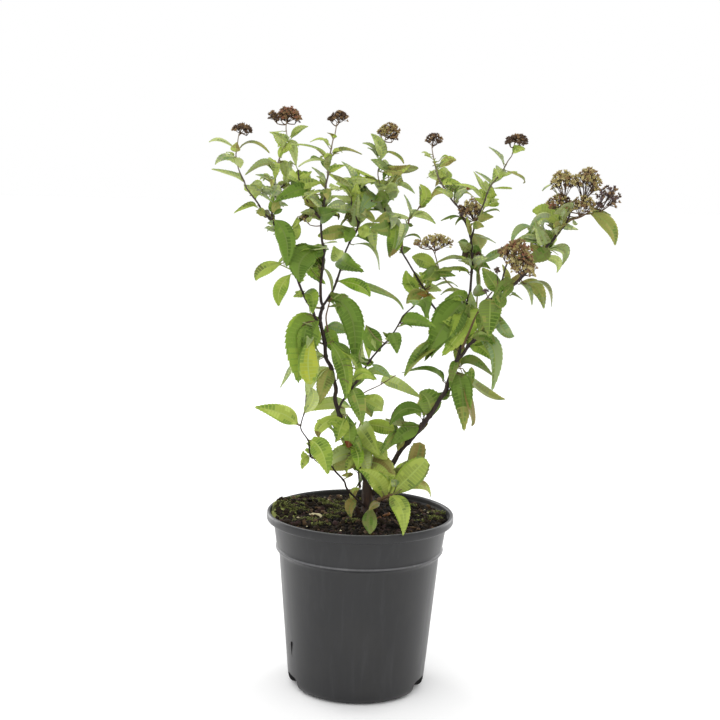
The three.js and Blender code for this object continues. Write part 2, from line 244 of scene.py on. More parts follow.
VEIN = {t: LEAF_SLOTS[e[1]] for t, e in TINTS.items()}
EDGE = {t: LEAF_SLOTS[e[2]] for t, e in TINTS.items()}
UNDER = {t: LEAF_SLOTS[e[3]] for t, e in TINTS.items()}
RIB = {t: LEAF_SLOTS[e[4]] for t, e in TINTS.items()}


def shade_of(tint, k):
    """The leaf colour of the table that comes nearest to this tint made lighter or darker by k."""
    want = [c * k for c in TINTS[tint][0]]
    table = {n: e[0] for n, e in TINTS.items()}
    table.update(VEINS)
    return LEAF_SLOTS[min(table, key=lambda n: sum((a - b) ** 2 for a, b in zip(table[n], want)) + (400 if n in ("red", "rust", "v_red") and tint not in ("red", "rust") else 0))]


# Lighter and darker copies of each tint, laid in patches over a leaf: partly random mottling, partly painted light and
# shade on the two halves of a leaf, as on the two sides of a fold
LIGHTER = {t: shade_of(t, 1.13) for t in TINTS}
DARKER = {t: shade_of(t, 0.86) for t in TINTS}
DARKEST = {t: shade_of(t, 0.76) for t in TINTS}


def bark_material(name, dark, light, low, high, patch=(90, 70, 58)):
    """Bark that goes from dark at height low to light at height high (mm), in long streaks with pale breathing pores."""
    m, nt, bsdf = new_material(name)
    tc = nt.nodes.new("ShaderNodeTexCoord")
    sep = nt.nodes.new("ShaderNodeSeparateXYZ")
    nt.links.new(tc.outputs["Object"], sep.inputs["Vector"])
    streak = add_noise(nt, 330.0, 5.0, 0.6, (1.0, 1.0, 0.16))
    pores = add_noise(nt, 900.0, 2.0, 0.5, (1.0, 1.0, 0.6))
    height = nt.nodes.new("ShaderNodeMapRange")
    height.inputs["From Min"].default_value = low * MM
    height.inputs["From Max"].default_value = high * MM
    nt.links.new(sep.outputs["Z"], height.inputs["Value"])
    a = ramp(nt, streak.outputs["Fac"], [(0.3, lin([c * 0.62 for c in dark])), (0.55, lin(dark)), (0.75, lin(patch))])
    b = ramp(nt, streak.outputs["Fac"], [(0.3, lin([c * 0.72 for c in light])), (0.6, lin(light)), (0.8, lin([min(255, c * 1.2) for c in light]))])
    base = mix_rgb(nt, height.outputs["Result"], a.outputs["Color"], b.outputs["Color"])
    dots = ramp(nt, pores.outputs["Fac"], [(0.68, (0, 0, 0, 1)), (0.76, (0.7, 0.7, 0.7, 1))])
    nt.links.new(mix_rgb(nt, dots.outputs["Color"], base, lin((150, 132, 108))), bsdf.inputs["Base Color"])
    r = map_range(nt, streak.outputs["Fac"], 0.5, 0.8)
    nt.links.new(r.outputs["Result"], bsdf.inputs["Roughness"])
    bsdf.inputs["Specular IOR Level"].default_value = 0.3
    bump(nt, bsdf, streak.outputs["Fac"], 0.5, 0.0006)
    return m


BARK = bark_material("bark", (46, 34, 30), (168, 152, 132), 486, 566, (74, 58, 48))
BARK_OLD = bark_material("bark_old", (62, 44, 34), (56, 42, 34), 180, 240, (108, 80, 56))


def plain_material(name, rgb, rough=(0.5, 0.75), spec=0.3, scale=500.0, height=0.0003, strength=0.5):
    m, nt, bsdf = new_material(name)
    bsdf.inputs["Base Color"].default_value = lin(rgb)
    bsdf.inputs["Specular IOR Level"].default_value = spec
    n = add_noise(nt, scale, 4.0)
    r = map_range(nt, n.outputs["Fac"], rough[0], rough[1])
    nt.links.new(r.outputs["Result"], bsdf.inputs["Roughness"])
    bump(nt, bsdf, n.outputs["Fac"], strength, height)
    return m


TWIG_MATS = [
    plain_material("twig_dark", (56, 42, 36)),
    plain_material("twig_brown", (100, 78, 54)),
    plain_material("twig_olive", (122, 114, 72)),
    plain_material("twig_green", (140, 148, 80)),
]
T_DARK, T_BROWN, T_OLIVE, T_GREEN = range(4)
FRUIT_MATS = [
    plain_material("follicle_dark", (86, 66, 50), scale=900.0),
    plain_material("follicle_brown", (140, 112, 76), scale=900.0),
    plain_material("follicle_red", (150, 102, 74), scale=900.0),
    plain_material("follicle_olive", (168, 154, 96), scale=900.0),
    plain_material("follicle_purple", (106, 88, 88), scale=900.0),
    plain_material("follicle_straw", (202, 190, 134), scale=900.0),
]
F_DARK, F_BROWN, F_RED, F_OLIVE, F_PURPLE, F_STRAW = range(6)


# ------------------------------------------------------------------ mesh helpers
class Bag:
    """Collects closed bodies, in mm, and turns them into one object in metres."""

    def __init__(self):
        self.verts, self.faces, self.mats, self.margin, self.count = [], [], [], [], 0

    def add(self, verts, faces, mats, margin=None):
        self.verts.append(np.asarray(verts, float))
        n = self.count
        self.faces.extend(tuple(i + n for i in f) for f in faces)
        if isinstance(mats, int):
            self.mats.extend([mats] * len(faces))
        else:
            self.mats.extend(mats)
        if margin:
            self.margin.extend(i + n for i in margin)
        self.count += len(verts)

    def triangles(self):
        return sum(len(f) - 2 for f in self.faces)

    def build(self, name, materials):
        me = bpy.data.meshes.new(name)
        v = np.concatenate(self.verts) * MM
        me.from_pydata(v.tolist(), [], self.faces)
        for m in materials:
            me.materials.append(m)
        me.polygons.foreach_set("material_index", np.array(self.mats, np.int32))
        me.polygons.foreach_set("use_smooth", np.ones(len(self.faces), bool))
        if self.margin:
            flag = np.zeros(len(v), bool)
            flag[self.margin] = True
            ends = np.zeros(len(me.edges) * 2, np.int32)
            me.edges.foreach_get("vertices", ends)
            ends = ends.reshape(-1, 2)
            me.edges.foreach_set("use_edge_sharp", flag[ends[:, 0]] & flag[ends[:, 1]])
        me.update()
        ob = bpy.data.objects.new(name, me)
        bpy.context.scene.collection.objects.link(ob)
        return ob


def unit(v):
    n = math.sqrt(float(v[0]) ** 2 + float(v[1]) ** 2 + float(v[2]) ** 2)
    return v / n if n > 1e-12 else np.array((0.0, 0.0, 1.0))


def smooth_path(points, step):
    """Points about step apart on a smooth line through the given points."""
    P = [np.asarray(p, float) for p in points]
    if len(P) == 2:
        n = max(2, int(np.linalg.norm(P[1] - P[0]) / step))
        return [P[0] + (P[1] - P[0]) * i / n for i in range(n + 1)]
    E = [2 * P[0] - P[1]] + P + [2 * P[-1] - P[-2]]
    out = []
    for i in range(1, len(E) - 2):
        a, b, c, d = E[i - 1:i + 3]
        n = max(1, int(round(np.linalg.norm(c - b) / step)))
        for k in range(n):
            t = k / n
            out.append(0.5 * ((2 * b) + (c - a) * t + (2 * a - 5 * b + 4 * c - d) * t * t + (3 * b - a - 3 * c + d) * t ** 3))
    out.append(P[-1])
    return out


def tube(bag, points, radii, sides, mat, relief=0.0, knobs=(), step=1.6, seed=0.0, blunt=False):
    """A closed limb along the points. radii go evenly from first to last; knobs are (distance along, swelling)."""
    path = smooth_path(points, step)
    n = len(path)
    dist = [0.0]
    for a, b in zip(path, path[1:]):
        dist.append(dist[-1] + float(np.linalg.norm(b - a)))
    total = dist[-1] or 1.0
    tangents = []
    for i in range(n):
        tangents.append(unit(path[min(i + 1, n - 1)] - path[max(i - 1, 0)]))
    ref = np.array((0.0, 1.0, 0.0)) if abs(tangents[0][1]) < 0.9 else np.array((1.0, 0.0, 0.0))
    side = unit(np.cross(tangents[0], ref))
    verts, faces = [], []
    for i in range(n):
        t = tangents[i]
        side = unit(side - t * float(side @ t))
        other = np.cross(t, side)
        f = dist[i] / total
        r = radii[0] + (radii[-1] - radii[0]) * f
        if len(radii) == 3:
            r = radii[0] + (radii[1] - radii[0]) * min(1, f * 2) + (radii[2] - radii[1]) * max(0, f * 2 - 1)
        swell = 0.0
        for at, amount in knobs:
            swell = max(swell, amount * math.exp(-((dist[i] - at) / 1.3) ** 2))
        r *= 1 + swell
        for k in range(sides):
            a = 2 * math.pi * k / sides
            c, s = math.cos(a), math.sin(a)
            rr = r
            if relief:
                q = noise.noise(Vector((c * 1.9 + seed, s * 1.9, dist[i] * 0.09))) + 0.6 * noise.noise(Vector((c * 5 + seed, s * 5, dist[i] * 0.35)))
                rr *= 1 + relief * q
            verts.append(path[i] + side * (c * rr) + other * (s * rr))
    for i in range(n - 1):
        for k in range(sides):
            k2 = (k + 1) % sides
            faces.append((i * sides + k, i * sides + k2, (i + 1) * sides + k2, (i + 1) * sides + k))
    a, b = len(verts), len(verts) + 1
    verts.append(path[0] - tangents[0] * radii[0] * 0.3)
    verts.append(path[-1] + tangents[-1] * radii[-1] * (0.25 if blunt else 0.9))
    for k in range(sides):
        k2 = (k + 1) % sides
        faces.append((a, k2, k))
        faces.append((b, (n - 1) * sides + k, (n - 1) * sides + k2))
    bag.add(verts, faces, mat)


COLS = (-1.0, -0.82, -0.44, -0.065, 0.065, 0.44, 0.82, 1.0)


def leaf(bag, base, mid, tip, side, width, tint, seed, tip_tint=None, fold=0.3, twist=0.0, curl=0.0, belly=0.62, point=1.0, teeth=None):
    """One closed toothed leaf along base-mid-tip. side points to its right edge; its upper face is side x forward."""
    rng = random.Random(seed)
    p0, p1, p2 = (np.asarray(p, float) for p in (base, mid, tip))
    q = 2 * p1 - 0.5 * (p0 + p2)
    length = float(np.linalg.norm(p1 - p0) + np.linalg.norm(p2 - p1))
    if teeth is None:
        teeth = int(max(4, min(14, length / 3.2)))
    peak = belly / (belly + point)
    norm = 1.0 / (peak ** belly * (1 - peak) ** point)
    ts, kinds = [0.045], [0]
    for k in range(teeth):
        a = 0.1 + (0.86 * k) / teeth
        ts.append(a)
        kinds.append(-1)
        ts.append(a + 0.86 / teeth * 0.78)
        kinds.append(1)
    ts.append(0.972)
    kinds.append(0)
    half = width / 2.0
    depth = min(0.34, 0.022 * width) * rng.uniform(0.8, 1.3)
    side = np.asarray(side, float)

    def centre(t):
        return p0 * (1 - t) ** 2 + q * 2 * t * (1 - t) + p2 * t * t

    def forward(t):
        return unit((q - p0) * (1 - t) + (p2 - q) * t)

    wave = rng.uniform(0, 6.28)
    rows = len(ts)
    top, bot = [], []
    for t, kind in zip(ts, kinds):
        w = half * norm * t ** belly * (1 - t) ** point
        row_t, row_b = [], []
        for s in COLS:
            e = abs(s)
            tt = min(0.992, t + 0.075 * e * (1 - t))
            T = forward(tt)
            S = unit(side - T * float(side @ T))
            if twist:
                a = twist * tt
                S = unit(S * math.cos(a) + np.cross(T, S) * math.sin(a))
            N = np.cross(S, T)
            ww = w
            if e == 1.0:
                ww *= 1.0 + (0.035 if kind > 0 else -0.045 if kind < 0 else 0)
                tt2 = min(0.996, tt + (0.022 if kind > 0 else 0.0))
            else:
                tt2 = tt
            lift = e * ww * fold - curl * (e ** 3) * ww
            lift += depth * kind * -1 * (1 - e) * (1 if e > 0.1 else 0) + 0.035 * width * math.sin(wave + 7.5 * t + (1.2 if s > 0 else 0)) * e * e
            if e < 0.1:
                lift -= 0.12
            p = centre(tt2) + S * (s * ww) + N * lift
            row_t.append(p)
            row_b.append(p - N * (0.62 if e < 0.1 else 0.22))
        top.append(row_t)
        bot.append(row_b)
    verts, faces, mats, margin = [], [], [], []
    ncol = len(COLS)
    ti, bi = [], []
    for i in range(rows):
        idx = []
        for j in range(ncol):
            idx.append(len(verts))
            verts.append(top[i][j])
        ti.append(idx)
        idb = [idx[0]]
        for j in range(1, ncol - 1):
            idb.append(len(verts))
            verts.append(bot[i][j])
        idb.append(idx[-1])
        bi.append(idb)
        margin += [idx[0], idx[-1]]
    start, end = len(verts), len(verts) + 1
    verts.append(centre(0.0))
    verts.append(centre(1.0))
    margin += [start, end]
    un, rib = UNDER[tint], RIB[tint]
    split = rng.uniform(0.62, 0.74)
    other = random.Random(seed * 3 + 1)
    # spot places the random patches; lean paints one half of the leaf lighter and the other darker, a painted shade
    # like that on the two sides of a fold; rise makes the leaf lighter at one end and darker at the other
    spot, lean, rise = other.uniform(0, 50), other.uniform(-0.3, 0.3), other.uniform(-0.4, 0.4)
    veined = width > 5.0
    edged = rng.random() < 0.4
    for i in range(rows - 1):
        late = tip_tint is not None and ts[i] > split
        now = tip_tint if late else tint
        r2 = RIB[now]
        n2 = UNDER[now]
        for j in range(ncol - 1):
            faces.append((ti[i][j], ti[i][j + 1], ti[i + 1][j + 1], ti[i + 1][j]))
            if j == 3:
                mats.append(r2)
            elif veined and kinds[i] > 0 and j not in (0, 6):
                mats.append(VEIN[now])
            else:
                # noise gives random patches of the lighter and darker copies, and lean adds painted shade to one half
                # of the leaf and painted light to the other
                v = 1.2 * noise.noise(Vector((ts[i] * 2.6 + spot, j * 0.4, spot * 0.3))) + lean * (1 if j < 3 else -1) + rise * (ts[i] - 0.5)
                if v > 0.28:
                    mats.append(LIGHTER[now])
                elif v < -0.58:
                    mats.append(DARKEST[now])
                elif v < -0.26:
                    mats.append(DARKER[now])
                else:
                    mats.append(EDGE[now] if edged and j in (0, 6) else UPPER[now])
            faces.append((bi[i][j + 1], bi[i][j], bi[i + 1][j], bi[i + 1][j + 1]))
            mats.append(n2)
    last = rows - 1
    up = UPPER[tint]
    u2, n2 = (UPPER[tip_tint], UNDER[tip_tint]) if tip_tint else (up, un)
    for j in range(ncol - 1):
        faces.append((start, ti[0][j + 1], ti[0][j]))
        mats.append(up)
        faces.append((start, bi[0][j], bi[0][j + 1]))
        mats.append(un)
        faces.append((ti[last][j], ti[last][j + 1], end))
        mats.append(u2)
        faces.append((bi[last][j + 1], bi[last][j], end))
        mats.append(n2)
    bag.add(verts, faces, mats, margin)


# ------------------------------------------------------------------ limbs
# Each line is pixel x, pixel y and depth (mm) along the limb, with its first and last radius (mm).
LIMBS = {
    "stem_left": ([(366, 484, 0), (357, 455, -3), (345, 430, -6), (338, 411, -8), (335, 398, -9), (336, 390, -9), (334, 380, -10), (331, 367, -11), (326, 358, -12), (325, 345, -13), (323, 334, -14), (320, 318, -15), (323, 306, -16)], (2.35, 1.75)),
    "stem_left_upper": ([(323, 306, -16), (321, 300, -17), (320.5, 285, -19), (322, 272, -21), (324, 250, -24), (322, 240, -26), (321, 222, -30), (323, 210, -33), (325, 197, -36), (326, 185, -38), (328, 175, -40), (327, 165, -42), (329, 158, -44), (331, 150, -46), (333, 140, -48), (335, 134, -49), (337, 122, -50)], (1.55, 0.5)),
    "stem_left_back": ([(323, 306, -16), (333, 290, 2), (340, 271, 20), (344, 256, 34), (348, 246, 42), (351, 240, 48), (356, 232, 56), (358, 224, 62), (355, 214, 68), (352, 205, 74), (352, 190, 84), (352, 180, 92)], (1.35, 0.55)),
    "stem_outer_left": ([(321, 322, -15), (316, 319, -17), (312, 309, -20), (305, 298, -24), (300, 286, -28), (296, 275, -31), (291, 266, -34), (287, 260, -36), (283, 245, -38), (272, 220, -40)], (1.35, 1.0)),
    "stem_outer_left_front": ([(272, 220, -40), (267, 216, -42), (262, 210, -44), (257, 202, -47), (250, 193, -50), (246, 187, -52), (244, 181, -54), (239, 170, -56), (236, 157, -58), (237, 148, -60), (239, 134, -62), (242, 129, -62)], (0.9, 0.42)),
    "stem_outer_left_back": ([(272, 220, -40), (272, 205, -30), (272.5, 195, -20), (275, 181, -6), (276, 172, 3), (279, 160, 14), (284, 148, 25), (287, 138, 34), (286, 128, 42), (287, 118, 48)], (0.95, 0.5)),
    "stem_right": ([(373, 494, 0), (393, 463, -2), (400, 451, -3), (410, 440, -4), (420, 428, -4), (427, 419, -5), (433, 411, -6), (440, 399, -8), (446, 390, -9), (449, 380, -10), (453, 370, -11), (457, 360, -12)], (2.8, 2.05)),
    "stem_right_upper": ([(457, 360, -12), (461, 347, -8), (464, 338, -4), (465, 325, 0), (467, 305, 8), (470, 292, 13), (471, 281, 17), (472, 265, 24), (472, 250, 30), (471, 240, 34), (469, 232, 38), (466, 224, 42), (462, 216, 46), (458, 207, 51), (452, 200, 55), (447, 191, 60), (441, 183, 64), (437, 173, 69), (434, 160, 75), (432, 148, 80), (432.5, 143, 82)], (1.7, 0.48)),
    "stem_right_front": ([(471, 240, 34), (476, 222, 24), (480, 212, 14), (484, 203, 4), (489, 189, -8), (495, 180, -18), (503, 170, -30), (508, 161, -40), (512, 155, -47), (514, 146, -54), (515.5, 141, -58)], (0.95, 0.42)),
    "stem_right_outer": ([(457, 360, -12), (463, 354, -14), (469, 345, -17), (475, 339, -20), (483, 322, -27), (492, 299, -36), (501, 291, -40), (511, 287, -44), (519, 280, -48), (526, 273, -51), (535, 262, -56), (541, 254, -60), (548, 245, -64), (553, 240, -66), (558, 233, -69), (564, 226, -72), (568, 220, -75), (571, 208, -79)], (1.65, 0.85)),
    "stem_centre_back": ([(462, 343, -6), (437, 311, 20), (430, 301, 28), (424, 289, 36), (415, 274, 46), (408, 262, 55), (402, 252, 62), (400, 245, 66), (390, 222, 80), (385, 210, 87), (382, 198, 93), (379, 181, 101), (378, 172, 105), (381, 160, 109), (382, 150, 112), (385, 140, 114), (387, 134, 115)], (1.2, 0.5)),
    "stem_centre_front": ([(338, 411, -8), (342, 402, -14), (348, 394, -19), (357, 381, -27), (367, 365, -36), (375, 354, -42), (388, 340, -51), (394, 332, -55), (400, 322, -60), (404, 315, -63), (414, 306, -68)], (1.2, 0.6)),
    "shoot_base_left": ([(364, 506, -6), (348, 490, -14), (344, 481, -18), (335, 471, -24), (331, 466, -27), (318, 459, -34), (311, 457, -38), (309, 445, -40), (308, 440, -41), (301, 429, -44), (302, 420, -45), (305, 410, -46), (306, 395, -47)], (1.1, 0.5)),
    "stalk_front": ([(501, 291, -40), (503, 277, -58), (507, 264, -84), (512, 262, -98)], (0.9, 0.7)),
}
# Side twigs too thin for a solid of their own: (points, radii, colour).
TWIGS = {
    "twig_left_back": ([(275, 197, -22), (280, 189, -14), (284, 185, -10), (295, 174, 0), (302, 172, 4)], (0.8, 0.5), T_DARK),
    "twig_left_fork": ([(358, 224, 62), (364, 214, 70), (367, 208, 76), (372, 200, 80)], (1.1, 0.6), T_DARK),
    "twig_head_right": ([(568, 220, -75), (578, 218, -76), (586, 214, -77), (594, 209, -78), (600, 205, -78), (606, 201, -78)], (0.85, 0.5), T_BROWN),
    "twig_centre": ([(402, 250, 63), (403, 235, 74), (408, 224, 84), (410, 218, 88), (416, 212, 93), (420, 206, 97)], (1.0, 0.65), T_BROWN),
    "shoot_centre": ([(360, 487, 3), (358, 460, 14), (359, 430, 25), (361, 420, 28), (356, 404, 32), (352, 388, 34)], (1.2, 0.6), T_DARK),
    "twig_shoot": ([(361, 420, 28), (364, 400, 25), (364, 393, 22), (380, 385, 10), (396, 375, 0)], (0.75, 0.4), T_BROWN),
    "twig_left_side": ([(320, 218, -31), (311, 207, -30), (304, 195, -28), (300, 184, -27), (298, 170, -26)], (1.2, 0.6), T_DARK),
    "stem_thin": ([(328, 332, -13), (326, 318, -15), (328, 308, -12), (331, 297, -8)], (0.9, 0.55), T_BROWN),
    "stem_parallel": ([(476, 330, -4), (477, 300, 16), (479, 283, 22), (479, 268, 27)], (1.0, 0.6), T_OLIVE),
    "stem_parallel_low": ([(462, 349, -9), (470, 330, -12), (475, 318, -14), (484, 302, -22), (492, 292, -30)], (1.3, 0.7), T_BROWN),
    "twig_middle_head": ([(437, 262, 40), (436, 258, 37), (434, 252, 35), (430, 246, 34)], (0.6, 0.4), T_BROWN),
    "stem_middle": ([(465, 300, 8), (452, 287, 22), (441, 274, 34), (437, 262, 40)], (0.8, 0.6), T_OLIVE),
    "twig_front_lower": ([(511, 287, -44), (519, 279, -52), (526, 268, -66), (528, 264, -78)], (0.9, 0.6), T_DARK),
    "twig_far_left": ([(272, 203, -28), (267, 197, -28), (262, 191, -30)], (0.55, 0.35), T_OLIVE),
    "twig_right_mid": ([(540, 256, -60), (536, 248, -52), (540, 240, -44), (538, 230, -40)], (0.7, 0.4), T_OLIVE),
    "twig_star": ([(478, 217, 18), (486, 205, 20), (489, 196, 22)], (0.7, 0.5), T_GREEN),
    "twig_base": ([(378, 500, -14), (386, 497, -22), (392, 495, -28)], (2.0, 1.3), T_BROWN),
}
limb_points = {n: [place(*p) for p in v[0]] for n, v in LIMBS.items()}
limb_points.update({n: [place(*p) for p in v[0]] for n, v in TWIGS.items()})
limb_lines = {}
for _n, _pts in limb_points.items():
    _path = smooth_path(_pts, 2.0)
    _arr = np.array(_path)
    _d = np.concatenate([[0], np.cumsum(np.linalg.norm(np.diff(_arr, axis=0), axis=1))])
    limb_lines[_n] = (_arr, _d, np.array([pixel(p) for p in _path]))
knobs = {n: [] for n in limb_points}


def nearest_by_pixel(px, py, only=None):
    best = None
    for n, (arr, d, pp) in limb_lines.items():
        if only and n != only:
            continue
        k = int(np.argmin((pp[:, 0] - px) ** 2 + (pp[:, 1] - py) ** 2))
        dd = math.hypot(pp[k, 0] - px, pp[k, 1] - py)
        if best is None or dd < best[0]:
            best = (dd, n, arr[k], float(d[k]))
    return best


def nearest_in_space(p):
    best = None
    for n, (arr, d, pp) in limb_lines.items():
        dd2 = ((arr - p) ** 2).sum(1)
        k = int(np.argmin(dd2))
        if best is None or dd2[k] < best[0]:
            best = (float(dd2[k]), n, arr[k], float(d[k]))
    return math.sqrt(best[0]), best[1], best[2], best[3]
